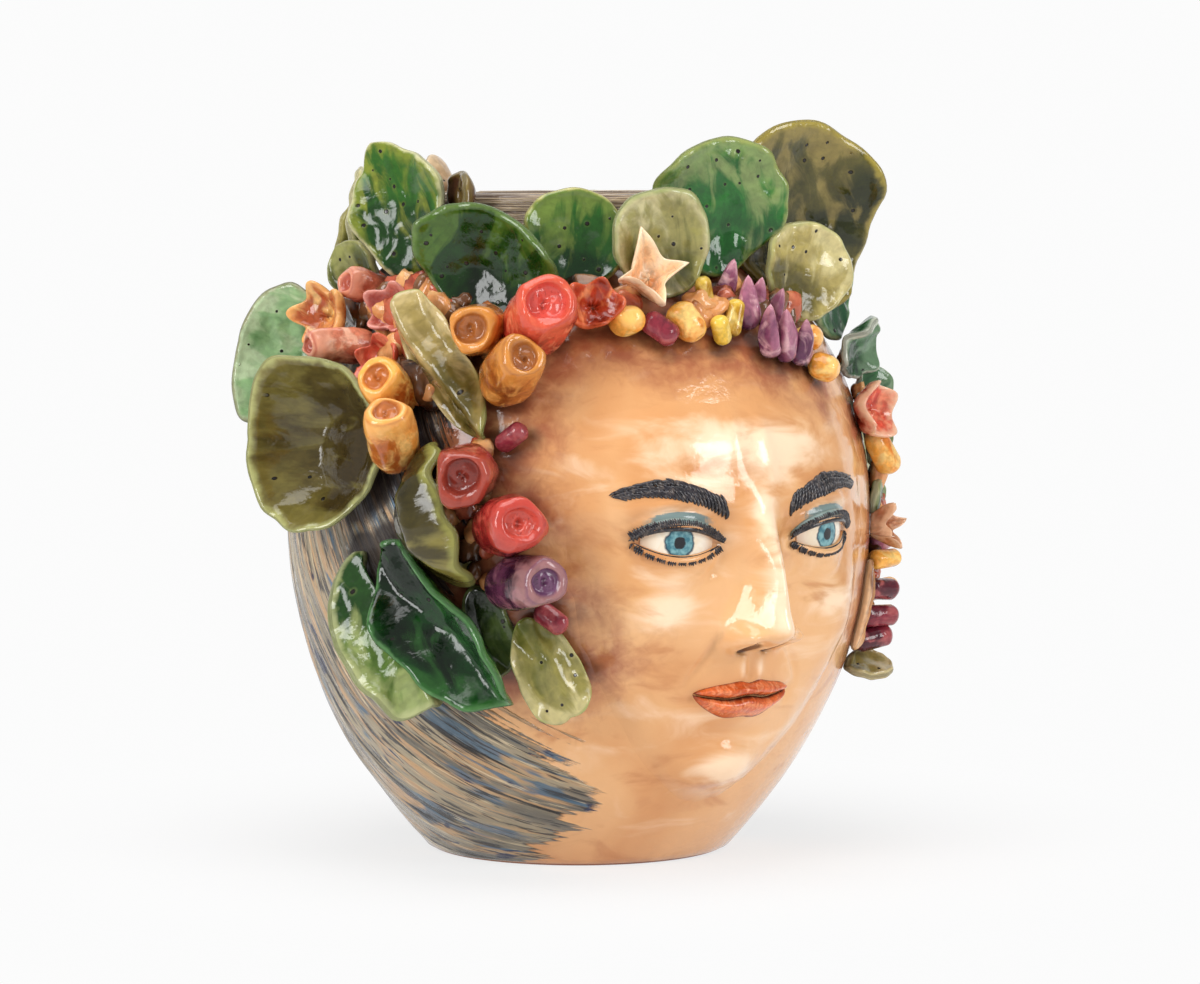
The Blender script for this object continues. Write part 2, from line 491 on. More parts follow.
# %% The pads in their glazes
PAD_PAINT = {
    "fan_pad_front": ((20, 58, 12), (48, 98, 28), (136, 142, 50), (214, 208, 160), "green_glaze"),
    "fan_pad_back": ((62, 66, 28), (104, 116, 52), (160, 158, 92), (206, 196, 146), "olive_glaze"),
    "brown_pad_near": ((46, 26, 18), (84, 52, 34), (112, 92, 46), (128, 112, 60), "brown_glaze"),
    "brown_pad_far": ((128, 92, 60), (178, 144, 104), (206, 178, 140), (214, 192, 158), "brown_glaze"),
    "crown_pad_1": ((4, 24, 2), (20, 58, 10), (78, 110, 36), (104, 128, 66), "green_glaze"),
    "crown_pad_2": ((10, 50, 12), (36, 86, 26), (116, 136, 60), (196, 184, 112), "green_glaze"),
    "crown_pad_3": ((60, 66, 14), (150, 144, 84), (206, 198, 152), (150, 160, 100), "olive_glaze"),
    "crown_pad_4": ((10, 66, 20), (38, 110, 40), (140, 156, 96), (150, 156, 84), "green_glaze"),
    "crown_pad_5": ((44, 48, 16), (92, 86, 36), (156, 138, 76), (170, 152, 64), "olive_glaze"),
    "crown_pad_6": ((92, 84, 28), (178, 162, 94), (220, 208, 150), (180, 180, 116), "olive_glaze"),
    "crown_pad_7": ((18, 76, 40), (42, 114, 60), (122, 156, 112), (196, 200, 152), "green_glaze"),
    "left_temple_pad_1": ((20, 54, 30), (46, 92, 50), (112, 142, 110), (222, 222, 204), "green_glaze"),
    "left_temple_pad_2": ((24, 62, 36), (52, 98, 58), (120, 146, 112), (214, 214, 196), "green_glaze"),
    "left_temple_pad_3": ((60, 70, 30), (104, 116, 60), (160, 164, 110), (198, 196, 150), "olive_glaze"),
    "left_cheek_pad": ((56, 74, 36), (96, 118, 66), (150, 162, 112), (206, 200, 160), "green_glaze"),
    "jaw_slab": ((132, 82, 48), (206, 148, 96), (232, 186, 138), (210, 160, 112), "skin_glaze"),
    "left_jaw_pad": ((88, 78, 32), (150, 134, 76), (196, 174, 124), (204, 190, 144), "olive_glaze"),
    "right_ear_pad": ((66, 116, 62), (138, 174, 120), (188, 204, 164), (124, 112, 78), "green_glaze"),
    "right_back_pad": ((60, 68, 28), (108, 116, 56), (156, 156, 92), (178, 170, 112), "olive_glaze"),
    "cupped_pad": ((58, 46, 20), (92, 80, 38), (128, 118, 60), (186, 188, 122), "olive_glaze"),
    "folded_pad_upper": ((74, 66, 24), (150, 132, 74), (204, 182, 128), (146, 152, 80), "olive_glaze"),
    "folded_pad_lower": ((30, 26, 8), (66, 58, 22), (138, 128, 66), (162, 162, 86), "olive_glaze"),
    "hanging_pad_1": ((4, 24, 6), (12, 56, 18), (48, 100, 42), (84, 136, 74), "green_glaze"),
    "hanging_pad_2": ((30, 66, 20), (86, 116, 44), (156, 166, 104), (180, 184, 130), "green_glaze"),
    "hanging_pad_3": ((70, 78, 24), (142, 134, 70), (206, 194, 138), (150, 164, 84), "olive_glaze"),
    "hanging_pad_4": ((22, 30, 14), (44, 62, 28), (84, 100, 50), (110, 120, 70), "green_glaze"),
    "left_side_pad_1": ((26, 84, 34), (62, 124, 58), (142, 160, 106), (188, 188, 126), "green_glaze"),
    "left_side_pad_2": ((92, 96, 38), (148, 148, 84), (190, 182, 130), (170, 178, 118), "olive_glaze"),
    "back_pad_1": ((64, 68, 26), (112, 112, 50), (166, 156, 90), (176, 166, 96), "olive_glaze"),
    "back_pad_2": ((34, 78, 30), (68, 116, 52), (140, 154, 92), (194, 188, 124), "green_glaze"),
}
FEW_HOLES = {"jaw_slab": 0.0, "cupped_pad": 0.16, "folded_pad_upper": 0.12, "folded_pad_lower": 0.2,
             "hanging_pad_1": 0.12, "hanging_pad_2": 0.25, "right_ear_pad": 0.3}
for name, (deep, body, thin, rim, slot) in PAD_PAINT.items():
    glaze = pad_glaze(name + "_glaze", deep, body, thin, rim, FEW_HOLES.get(name, 0.52))
    made = pad(name, glaze)
print(len(PAD_PAINT), "pads, each", len(made.data.polygons), "faces")

# %% [markdown]
# ## Prickly pears
# A prickly pear is a short barrel: one end is pressed on the jar, the other is dished where the
# flower fell off. A barrel is turned from half its outline, like on a wheel, and then knocked out
# of true a little, because no two of them are alike.

# %% Shape of a prickly pear
def turn_outline(bm, outline, steps):
    line = [bm.verts.new((r, 0, z)) for r, z in outline]
    edges = [bm.edges.new(pair) for pair in zip(line, line[1:])]
    bmesh.ops.spin(bm, geom=line + edges, cent=(0, 0, 0), axis=(0, 0, 1), angle=math.tau, steps=steps,
                   use_merge=True)
    bmesh.ops.remove_doubles(bm, verts=bm.verts, dist=1e-4)


def barrel_outline(r, long):
    shoulder = 0.24 * long
    quarter = [math.radians(15 * i) for i in range(7)]
    outline = [(r * math.sin(a), -r * math.cos(a)) for a in quarter]
    outline += [(wide * r, up * (long - shoulder)) for wide, up in ((1.04, 0.25), (1.07, 0.55), (1.05, 0.85))]
    outline += [(r - shoulder * 0.55 * (1 - math.cos(a)), long - shoulder + shoulder * math.sin(a))
                for a in quarter]
    rim = outline[-1][0]
    outline += [(rim * (0.97 - 0.06 * i), long - 0.24 * r * smooth(i, 1, 6)) for i in range(1, 11)]
    return outline + [(rim * 0.28, long - 0.25 * r), (rim * 0.20, long - 0.31 * r),
                      (rim * 0.10, long - 0.37 * r), (0, long - 0.38 * r)]


def pinched(p, r, top, seed):
    for number in range(14):
        a = seed * 5 + number % 7 * math.tau / 7 + 0.3 * math.sin(seed * 9 + number * 4)
        tilt = 0.2 * math.sin(3 * a) if number < 7 else 1.0
        n = Vector((math.cos(a), math.sin(a), tilt)).normalized()
        flat_at = r * (0.98 + 0.05 * math.sin(7 * a)) if number < 7 else (0.84 * r + top) * 0.707
        p = p - n * max(p.dot(n) - flat_at, 0) * 0.5
    return p


def prickly_pear(name, base_at, aim_at, r_share, long_share, finish, slot):
    r, long, seed = r_share * FRUIT_R, long_share * FRUIT_LEN, seed_of(name)
    base = resting(*base_at, r)
    turn = Vector((0, 0, 1)).rotation_difference(at(aim_at[0], aim_at[1], aim_at[2] * FRUIT_LEN) - base)
    bm = bmesh.new()
    turn_outline(bm, barrel_outline(r * 1.12, long * 1.08), 64)
    leaf, tip = bm.verts.layers.float_vector.new("leaf"), bm.verts.layers.float.new("tip")
    dish = bm.verts.layers.float.new("dish")
    for v in bm.verts:
        out, spoke = math.hypot(v.co.x, v.co.y) / r, math.atan2(v.co.y, v.co.x)
        v[leaf] = v.co * MM + Vector((seed * 0.3, 0, 0))
        v[tip] = clamp((v.co.z + r) / (long + r))
        in_dish = out < 0.95 and v.co.z > 0.5 * long
        v[dish] = smooth(long * 1.08 - v.co.z - 0.01 * r, 0, 0.16 * r) if in_dish else 0
        knock = 1 + 0.14 * lumps(v.co, 12, seed) + 0.05 * math.sin(2 * spoke + seed)
        knock += 0.035 * abs(math.sin(2.5 * spoke + seed)) * v[tip] - 0.02
        swirl = 0.06 * r * math.sin(2 * spoke + 6 * out + seed) * v[dish]
        swirl += 0.05 * r * math.sin(spoke + seed) * v[tip]
        off = 0.08 * r * v[dish]
        p = Vector((v.co.x * knock + off * math.cos(seed), v.co.y * knock + off * math.sin(seed),
                    v.co.z + swirl + 1.6 * lumps(v.co, 8, seed + 2) * v[tip]))
        p = pinched(p, r * 1.12, long * 1.08, seed)
        v.co = pressed(base + turn @ p, 0)
    return finish_piece(bm, name, finish, [name], crowds=True)


print("outline of", len(barrel_outline(14, 30)), "points")

# %% [markdown]
# Fruit and flowers have a glaze that changes from their base to their tip. Near the base the potter
# let dark glaze run in between the pieces, which makes every fruit stand out.

# %% A glaze that changes towards the tip
def tip_glaze(name, deep, body, thin, end, hollow=None, scale=36.0, dark_to=0.30):
    material, tree, shader = new_glaze(name)
    leaf, tip = read(tree, "leaf"), read(tree, "tip", "Fac")
    coat = use(tree, patches, {"Place": leaf, "Deep": paint(*deep), "Body": paint(*body),
                               "Thin": paint(*thin), "Patch Scale": scale, "Streaks": 0.8})
    skin = use(tree, fired, {"Place": leaf, "Waves": 0.9})
    reach = calc(tree, "ADD", tip, sway(tree, mottle(tree, leaf, 150.0, 4, 1.0), 0.5))
    colour = mix(tree, fade(tree, reach, 0.70, 1.02, 0.0, 0.8), coat["Color"], paint(*end))
    if hollow:
        dish = read(tree, "dish", "Fac")
        colour = mix(tree, calc(tree, "MULTIPLY", dish, 0.85), colour, paint(*hollow))
        lines = fade(tree, mottle(tree, leaf, 260.0, 4, 3.0), 0.55, 0.68)
        lines = calc(tree, "MULTIPLY", lines, calc(tree, "MULTIPLY", dish, 0.5))
        colour = mix(tree, lines, colour, paint(*deep))
    colour = mix(tree, fade(tree, reach, dark_to, -0.06, 0.0, 0.9), colour, paint(44, 24, 18))
    wire(tree, shader, colour, skin["Gloss"], calc(tree, "ADD", coat["Height"], skin["Height"]), 0.0014, 0.7)
    return material


FRUIT = {
    "crown_fruit_1": ((54.7, 0.786), (53.1, 0.815, 1.6), 0.82, 0.66, "orange_glaze",
                      (134, 70, 30), (206, 122, 52), (236, 168, 84), (226, 150, 66), (152, 84, 40)),
    "crown_fruit_2": ((48.5, 0.722), (43.5, 0.775, 1.3), 0.85, 0.86, "orange_glaze",
                      (136, 68, 26), (194, 116, 46), (230, 164, 84), (212, 140, 64), (150, 86, 44)),
    "crown_fruit_3": ((43.5, 0.788), (39.8, 0.851, 1.6), 1.02, 0.84, "red_glaze",
                      (140, 34, 24), (208, 72, 50), (238, 138, 98), (218, 88, 64), (212, 80, 70)),
    "ear_fruit_1": ((92.2, 0.842), (92, 0.88, 1.5), 0.54, 0.54, "salmon_glaze",
                    (150, 64, 44), (214, 122, 92), (238, 178, 146), (226, 150, 120), (170, 74, 56)),
    "ear_fruit_2": ((86.6, 0.764), (89.5, 0.785, 2.2), 0.56, 0.80, "salmon_glaze",
                    (156, 70, 50), (220, 136, 104), (240, 186, 156), (226, 158, 128), (176, 80, 64)),
    "ear_fruit_3": ((71.5, 0.699), (69, 0.742, 1.2), 0.74, 0.72, "orange_glaze",
                    (180, 90, 26), (242, 156, 60), (252, 204, 112), (246, 174, 82), (190, 104, 50)),
    "ear_fruit_4": ((69, 0.626), (65.5, 0.70, 1.2), 0.76, 0.84, "orange_glaze",
                    (176, 88, 30), (238, 154, 68), (250, 200, 118), (242, 176, 94), (178, 100, 54)),
    "temple_fruit_1": ((54, 0.597), (51.5, 0.602, 1.4), 0.94, 0.74, "garnet_glaze",
                       (84, 24, 20), (146, 48, 38), (200, 104, 84), (168, 70, 54), (120, 42, 32)),
    "temple_fruit_2": ((47.5, 0.528), (41.5, 0.542, 1.5), 0.92, 0.92, "red_glaze",
                       (92, 18, 20), (150, 36, 34), (208, 90, 74), (200, 74, 62), (206, 84, 70)),
    "temple_fruit_3": ((46, 0.450), (39, 0.456, 1.2), 0.84, 0.92, "violet_glaze",
                       (48, 20, 38), (90, 46, 68), (146, 94, 106), (166, 118, 116), (96, 54, 96)),
}
for name, row in FRUIT.items():
    glaze = tip_glaze(name + "_glaze", *row[5:10], dark_to=0.22)
    made = prickly_pear(name, *row[:4], glaze, row[4])
print(len(FRUIT), "fruit, each", len(made.data.polygons), "faces")

# %% [markdown]
# ## Flowers
# An open flower is a little ball, hollowed with the thumb and pinched into points round its rim.
# Here a pressed sphere is again the lump of clay: its equator is the pinched rim, its upper half
# the hollow and its lower half the foot. One flower sits on a crown pad, the others on the wall.

# %% Shape of a flower
def flower_frame(row):
    front = facing(*row[1])
    side = Vector((0, 0, 1)).cross(front).normalized()
    deep, place = row[4] * FLOWER_R, row[0]
    if isinstance(place[0], str):
        carrier = PADS[place[0]]
        middle = pad_point(carrier, place[1], math.radians(place[2]), 1)[0]
        middle = middle + pad_frame(carrier)[3] * place[3] * FLOWER_R + front * 0.5 * deep
    else:
        middle = at(place[0], place[1], place[2] * FLOWER_R)
    return middle, front, side, front.cross(side), row[3] * FLOWER_R, deep


def flower(name, row, finish):
    middle, front, side, up, radius, deep = flower_frame(row)
    seed, points, amp = seed_of(name), row[5], row[6] * (1.1 if row[6] > 0.32 else 0.55)
    spread, sharp = (0.92, 1) if row[6] > 0.32 else (1.10, 0)
    bm = bmesh.new()
    around = 24 * points if points == 4 else 20 * points
    bmesh.ops.create_uvsphere(bm, u_segments=around, v_segments=28, radius=1)
    leaf, tip = bm.verts.layers.float_vector.new("leaf"), bm.verts.layers.float.new("tip")
    for v in bm.verts:
        (share, half), spoke = pressed_flat(v.co, 1.4), math.atan2(v.co.y, v.co.x)
        wave = math.cos(points * spoke)
        star = (1 + amp) / (1 + 3.0 * amp * abs(math.sin(points * spoke / 2))) - 1
        uneven = 0.07 * math.sin(2 * spoke + seed)
        uneven += 0.2 * (1 - 0.6 * sharp) * lumps((share * 9, spoke * 4, 1), 5, seed)
        tall = 0.16 * sharp * math.sin(spoke + math.radians(row[2]))
        reach = radius * spread * share * (1 + ((star if sharp else amp * wave) + uneven + tall) * share)
        hollow, foot = 0.62 * share ** 2 - 0.05, 0.62 * share ** 2.5 - 0.5
        round_off = math.sqrt(max(1 - clamp((share - 0.86) / 0.14) ** 2, 0))
        lift = (hollow + foot) / 2 + half * (hollow - foot) / 2 * (round_off if share > 0.86 else 1)
        lift += 0.20 * wave * share ** 3 + 0.20 * lumps((share * 9, spoke * 3, 0), 5, seed)
        lift -= 0.25 * sharp * bump(share - 0.35, 0.3)
        if half > 0:
            lift += 0.07 * bump(share - 0.12, 0.08) * math.cos(6 * spoke) - 0.10 * bump(share, 0.07)
        turned = spoke + math.radians(row[2])
        p = middle + (side * math.cos(turned) + up * math.sin(turned)) * reach + front * (lift * deep)
        v.co = pressed(p, 0)
        flat = Vector((reach * math.cos(spoke), reach * math.sin(spoke), lift * deep))
        v[leaf] = flat * MM + Vector((seed, 0, 0))
        v[tip] = share if half >= 0 else 0.35 + 0.5 * share
    return finish_piece(bm, name, finish, [name], crowds=True)


FLOWERS = {
    "peach_star_crown": ((("crown_pad_3", 0.9, -126, 0.225), (20, 24), 12, 1.1, 1.1, 4, 0.34), "peach_glaze",
                         (236, 178, 130), (253, 218, 174), (255, 236, 206), (253, 226, 190)),
    "peach_star_ear": (((96.5, 0.819, 1.75), (72, 12), 40, 0.95, 1.2, 5, 0.30), "peach_glaze",
                       (176, 84, 44), (234, 156, 84), (248, 206, 130), (240, 180, 108)),
    "pink_star_ear": (((81, 0.828, 0.7), (62, 15), 10, 0.85, 1.1, 5, 0.22), "pink_glaze",
                      (160, 66, 58), (218, 128, 112), (238, 178, 160), (232, 160, 146)),
    "red_flower_crown": (((31.5, 0.839, 1.15), (26, 20), 0, 0.9, 1.2, 5, 0.14), "red_glaze",
                         (104, 26, 12), (178, 58, 30), (236, 142, 88), (214, 98, 58)),
    "red_flower_ear": (((79, 0.755, 0.55), (64, 15), 20, 0.775, 1, 5, 0.16), "red_glaze",
                       (150, 44, 34), (216, 84, 62), (238, 146, 110), (228, 112, 86)),
    "red_flower_temple": (((-47, 0.672, 0.6), (-22, 5), 30, 0.95, 1.1, 4, 0.12), "red_glaze",
                          (160, 44, 26), (222, 78, 52), (240, 150, 110), (246, 206, 170)),
    "peach_star_jaw": (((-51.5, 0.490, 0.5), (-34, 0), 20, 0.7, 1, 4, 0.34), "peach_glaze",
                       (190, 120, 80), (236, 176, 132), (248, 206, 168), (244, 198, 158)),
}
for name, (row, slot, *colours) in FLOWERS.items():
    made = flower(name, row, tip_glaze(name + "_glaze", *colours, dark_to=0.10))
print(len(FLOWERS), "flowers, the last with", len(made.data.polygons), "faces")

# %% [markdown]
# ## Berries and petals
# Small pieces of one kind share a glaze: orange balls, yellow and dark red buds, and pointed violet
# petals. A bud is a sphere pulled out along the way it points, and a petal is pinched to a tip.

# %% Shape of the small pieces
def small_pieces(name, rows, pointed, finish):
    bm = bmesh.new()
    leaf, tip = bm.verts.layers.float_vector.new("leaf"), bm.verts.layers.float.new("tip")
    for number, (base_at, aim_at, r_share, long_share) in enumerate(rows):
        r, long, seed = r_share * BUD_R, long_share * BUD_LEN, seed_of(name) + number * 1.7
        base = resting(*base_at, r)
        turn = Vector((0, 0, 1)).rotation_difference(at(aim_at[0], aim_at[1], aim_at[2] * BUD_LEN) - base)
        lump = bmesh.ops.create_uvsphere(bm, u_segments=28, v_segments=22, radius=1)["verts"]
        for v in lump:
            spoke, rise = math.atan2(v.co.y, v.co.x), math.asin(clamp(v.co.z, -1, 1)) / (math.pi / 2)
            wide = math.hypot(v.co.x, v.co.y)
            if pointed and rise > 0:
                wide, high = math.cos(rise * math.pi / 2) ** 0.7, long * 1.05 * rise
                wide *= 1 + 0.16 * math.cos(3 * spoke + seed)
            else:
                high = r * v.co.z + (long if rise > 0 else 0) - 0.10 * r * bump(1 - v.co.z, 0.05)
            flat = Vector((wide * r * 1.16 * math.cos(spoke), wide * r * 1.16 * math.sin(spoke), high * 1.06))
            knock = 1 + 0.20 * lumps(flat, 8, seed) + 0.05 * math.sin(2 * spoke + seed)
            v[leaf] = flat * MM + Vector((seed * 0.3, 0, 0))
            v[tip] = clamp((high + r) / (long + (r if pointed else 2 * r)))
            v.co = pressed(base + turn @ Vector((flat.x * knock, flat.y * knock, flat.z)), 0)
    return finish_piece(bm, name, finish, [name], crowds=True)


ORANGE_BERRIES = [
    ((24, 0.806), (24, 0.83, 1.0), 0.76, 0.10), ((10.8, 0.814), (7.4, 0.784, 0.32), 0.70, 0.30),
    ((-24, 0.777), (-25, 0.79, 0.8), 0.62, 0.14), ((-25, 0.736), (-26, 0.738, 0.8), 0.66, 0.14),
    ((-51, 0.622), (-53, 0.565, 0.55), 0.66, 0.50), ((-52, 0.440), (-57, 0.444, 0.9), 0.50, 0.36),
    ((-62, 0.385), (-63, 0.395, 0.8), 0.50, 0.46),
]
YELLOW_PETALS = [
    ((2.6, 0.830), (3.8, 0.870, 0.55), 0.42, 0.40), ((1.2, 0.786), (2.6, 0.812, 0.42), 0.42, 0.28),
    ((-2.2, 0.797), (-3.4, 0.840, 0.5), 0.42, 0.40),
]
VIOLET_PETALS = [
    ((-4.6, 0.850), (-4.8, 0.90, 0.9), 0.46, 0.60), ((-7.6, 0.808), (-5.8, 0.868, 0.9), 0.54, 0.80),
    ((-10.4, 0.768), (-7.6, 0.83, 0.95), 0.54, 0.85), ((-15.2, 0.761), (-11.8, 0.825, 0.95), 0.54, 0.85),
    ((-20, 0.754), (-17, 0.81, 0.9), 0.50, 0.78), ((-12.2, 0.825), (-11, 0.875, 0.9), 0.44, 0.60),
    ((-17, 0.808), (-16, 0.86, 0.9), 0.44, 0.60), ((-56, 0.464), (-58, 0.472, 0.9), 0.42, 0.46),
    ((71.5, 0.878), (72, 0.90, 0.7), 0.42, 0.46),
]
GARNET_PETALS = [
    ((18, 0.803), (14.2, 0.794, 0.28), 0.62, 0.30), ((48.4, 0.642), (45.2, 0.664, 0.35), 0.48, 0.34),
    ((41, 0.405), (38, 0.385, 0.35), 0.50, 0.34), ((-52.5, 0.397), (-57, 0.392, 0.9), 0.54, 0.36),
    ((-52.5, 0.357), (-57, 0.352, 1.0), 0.54, 0.46), ((-52.5, 0.320), (-57, 0.328, 1.0), 0.54, 0.46),
]
berry_coat = tip_glaze("berry_glaze", (224, 128, 42), (253, 184, 80), (254, 218, 134), (252, 198, 108),
                       dark_to=0.16)
yellow_coat = tip_glaze("yellow_bud_glaze", (176, 128, 26), (232, 188, 62), (246, 220, 130), (240, 204, 84),
                        dark_to=0.14)
violet_coat = tip_glaze("violet_petal_glaze", (92, 38, 74), (170, 102, 128), (230, 182, 186), (200, 138, 152),
                        dark_to=0.2)
garnet_coat = tip_glaze("garnet_bud_glaze", (70, 18, 34), (136, 44, 58), (184, 96, 96), (150, 60, 66),
                        dark_to=0.14)
small_pieces("orange_berries", ORANGE_BERRIES, False, berry_coat)
small_pieces("yellow_petals", YELLOW_PETALS, False, yellow_coat)
small_pieces("violet_petals", VIOLET_PETALS, True, violet_coat)
small_pieces("garnet_petals", GARNET_PETALS, False, garnet_coat)
print("points left by the wreath:", len(crowded))

# %% [markdown]
# Between the pieces the potter left scraps of clay, squeezed out or pushed in to hold a fruit, and
# glazed them with whatever was on the brush. They are scattered by a fixed seed inside the places
# where the wreath is thick: each scrap is a small ball, squashed and knocked out of round.

# %% Scraps of clay
# azimuths, shares of the height, radii in mm, how many
SCRAPS = [
    ((64, 78), (0.7, 0.8), (4.5, 8), 30), ((64, 98), (0.8, 0.85), (4.5, 9), 38),
    ((22, 46), (0.812, 0.86), (3.6, 7), 20), ((-26, 12), (0.812, 0.86), (3.6, 7), 20),
    ((49, 60), (0.44, 0.64), (3.6, 6.5), 14), ((49, 60), (0.765, 0.815), (5, 8), 14),
    ((-60, -54), (0.42, 0.75), (3.6, 6), 20), ((-58, -54), (0.32, 0.44), (3.6, 5.5), 10),
]


def scraps(name, which, finish):
    bm, chance = bmesh.new(), random.Random(5)
    leaf, tip = bm.verts.layers.float_vector.new("leaf"), bm.verts.layers.float.new("tip")
    number = 0
    for az_range, z_range, sizes, count in SCRAPS:
        for _ in range(count):
            az, z, r = (chance.uniform(*pair) for pair in (az_range, z_range, sizes))
            turned = chance.random()
            number += 1
            if number % 3 != which:
                continue
            middle, out = resting(az, z, r * 0.75), outward(az)
            side = Vector((0, 0, 1)).cross(out)
            for v in bmesh.ops.create_uvsphere(bm, u_segments=16, v_segments=12, radius=1)["verts"]:
                knock = 1 + 0.5 * lumps(v.co, 0.8, number * 1.3)
                local = v.co * knock
                long = 1.0 + 0.7 * turned
                x = local.x * long * math.cos(6 * turned) - local.y * math.sin(6 * turned)
                y = local.x * long * math.sin(6 * turned) + local.y * math.cos(6 * turned)
                v[leaf] = local * r * MM + Vector((number * 0.1, 0, 0))
                v[tip] = 0.5 + 0.5 * v.co.z
                v.co = pressed(middle + (side * x + Vector((0, 0, 1)) * y + out * local.z * 0.8) * r, 0)
    return finish_piece(bm, name, finish)


tan_scrap = tip_glaze("tan_scrap_glaze", (150, 84, 44), (222, 150, 88), (240, 190, 130), (226, 160, 100),
                      dark_to=0.4)
red_scrap = tip_glaze("red_scrap_glaze", (110, 40, 28), (190, 84, 56), (226, 140, 100), (200, 104, 74),
                      dark_to=0.4)
dark_scrap = tip_glaze("brown_scrap_glaze", (50, 30, 22), (104, 66, 40), (150, 104, 66), (120, 80, 50),
                       dark_to=0.4)
made = [scraps("tan_scraps", 0, tan_scrap), scraps("red_scraps", 1, red_scrap),
        scraps("brown_scraps", 2, dark_scrap)]
print("scraps", [len(piece.data.polygons) // 192 for piece in made])

# %% [markdown]
# ## The pot with its hair
# Hair is scratched into the wall with a comb of wire: it falls straight from the shoulder and then
# sweeps forward round the belly towards the chin, on both sides. A strand is a line on which one
# number stays the same, so a small function gives each point of the wall the strand it lies on and
# how far down the strand it is. Grooves and brushed streaks are noise, stretched along the strands.

# %% Strands of hair
# heights in mm and the azimuth where the hair begins there
HAIR_FRONT = [(0, 47), (6, 46), (18, 39), (26, 33), (37, 29), (51, 31.5), (69, 42), (88, 56), (110, 61),
              (400, 66)]


def hair_front(z):
    for (z0, a0), (z1, a1) in zip(HAIR_FRONT, HAIR_FRONT[1:]):
        if z <= z1:
            return a0 + (a1 - a0) * (z - z0) / (z1 - z0)
    return HAIR_FRONT[-1][1]


def strand_at(az, z):
    side, turn, high = (1 if az >= 0 else -1), abs(az), min(max(z, 0) + 3, 250)
    strand = 130 - (130 - turn) * (high / 250) ** 0.75 if turn < 130 else turn
    return Vector((strand * 2.45, 300 - z + 1.9 * (strand - turn), side * 40))


def hair_at(az, z):
    strand = strand_at(az, z)
    front = hair_front(z) + (22 if az < 0 else 0)
    return (abs(az) - front) / 9 + 1.1 * lumps((strand.x, strand.y / 60, strand.z), 5.5)


def groove(strand):
    coarse = noise.noise(Vector((strand.x / 6.0, strand.y / 110, strand.z)))
    fine = noise.noise(Vector((strand.x / 2.9, strand.y / 60, strand.z + 9)))
    return 1.35 * coarse + 0.95 * fine


def swell(wall_point):
    return 0.7 * lumps(wall_point, 45, 2)


print("a strand at the shoulder and at the foot:", strand_at(90, 240)[:2], strand_at(90, 20)[:2])

# %% [markdown]
# The pot itself is its outline, spun round. The outside has many rows, because the grooves are real
# dents in it; the inside has few. The foot is a ring round a shallow hollow, left bare of glaze.

# %% Throw the pot
def pot_outline():
    outline = [(0, 1.6), (FOOT_R - 22, 1.6), (FOOT_R - 18, 0), (FOOT_R - 2.5, 0), (FOOT_R - 1.2, 0.5)]
    outline += [(pot_r(z), z) for z in (1.8 + 2.36 * i for i in range(126))]
    outline += [(NECK_R, NECK_Z + 3 + 2.4 * i) for i in range(1, 11)]
    outline += [(NECK_R - WALL / 2 + WALL / 2 * math.cos(a), POT_H - WALL / 2 + WALL / 2 * math.sin(a))
                for a in (math.radians(15 * i) for i in range(13))]
    inside = [NECK_Z - 2 - 11.5 * i for i in range(24)]
    outline += [(pot_r(z) - WALL, z) for z in inside]
    return outline + [(FOOT_R - 8, FLOOR_T + 1), (FOOT_R - 14, FLOOR_T), (20, FLOOR_T), (0, FLOOR_T)]


bm = bmesh.new()
turn_outline(bm, pot_outline(), 430)
strand_of, marks = bm.verts.layers.float_vector.new("strand"), bm.verts.layers.float_vector.new("marks")
near_wreath = kdtree.KDTree(len(crowded))
for number, point in enumerate(crowded):
    near_wreath.insert(point, number)
near_wreath.balance()
for v in bm.verts:
    r, z, az = math.hypot(v.co.x, v.co.y), v.co.z, math.degrees(math.atan2(-v.co.x, -v.co.y))
    is_outside = r > pot_r(z) - 1 and 0.5 < z < NECK_Z + 1
    crevice = math.exp(-(near_wreath.find(v.co)[2] / 13) ** 2) if is_outside else 0
    if is_outside:
        strand, hair = strand_at(az, z), hair_at(az, z)
        depth = groove(strand) * smooth(hair, -0.1, 0.5) * smooth(NECK_Z - z, 0, 8)
        v.co += outward(az) * (depth + swell(v.co))
    else:
        strand, hair = Vector((z * 2.2 + r * 0.6, abs(az) * 1.4, 0)), -2.0
        if z > NECK_Z:
            v.co += outward(az) * (0.5 * lumps((az / 9, z / 4, 0), 3, 1))
            v.co += Vector((0, 0, 0.6 * lumps((az / 14, 0, 5), 2)))
    v[strand_of] = strand * MM
    v[marks] = Vector((hair, crevice, 0 if is_outside else (1 if z > 2 else -1)))
print("pot of", len(bm.faces), "faces")

# %% [markdown]
# The skin of the face and the bare wall share one glaze: a warm tan, light and peachy where it is
# thin, with brown brush marks. It reads Object coordinates, so that it runs on from the wall to the
# face without a seam.

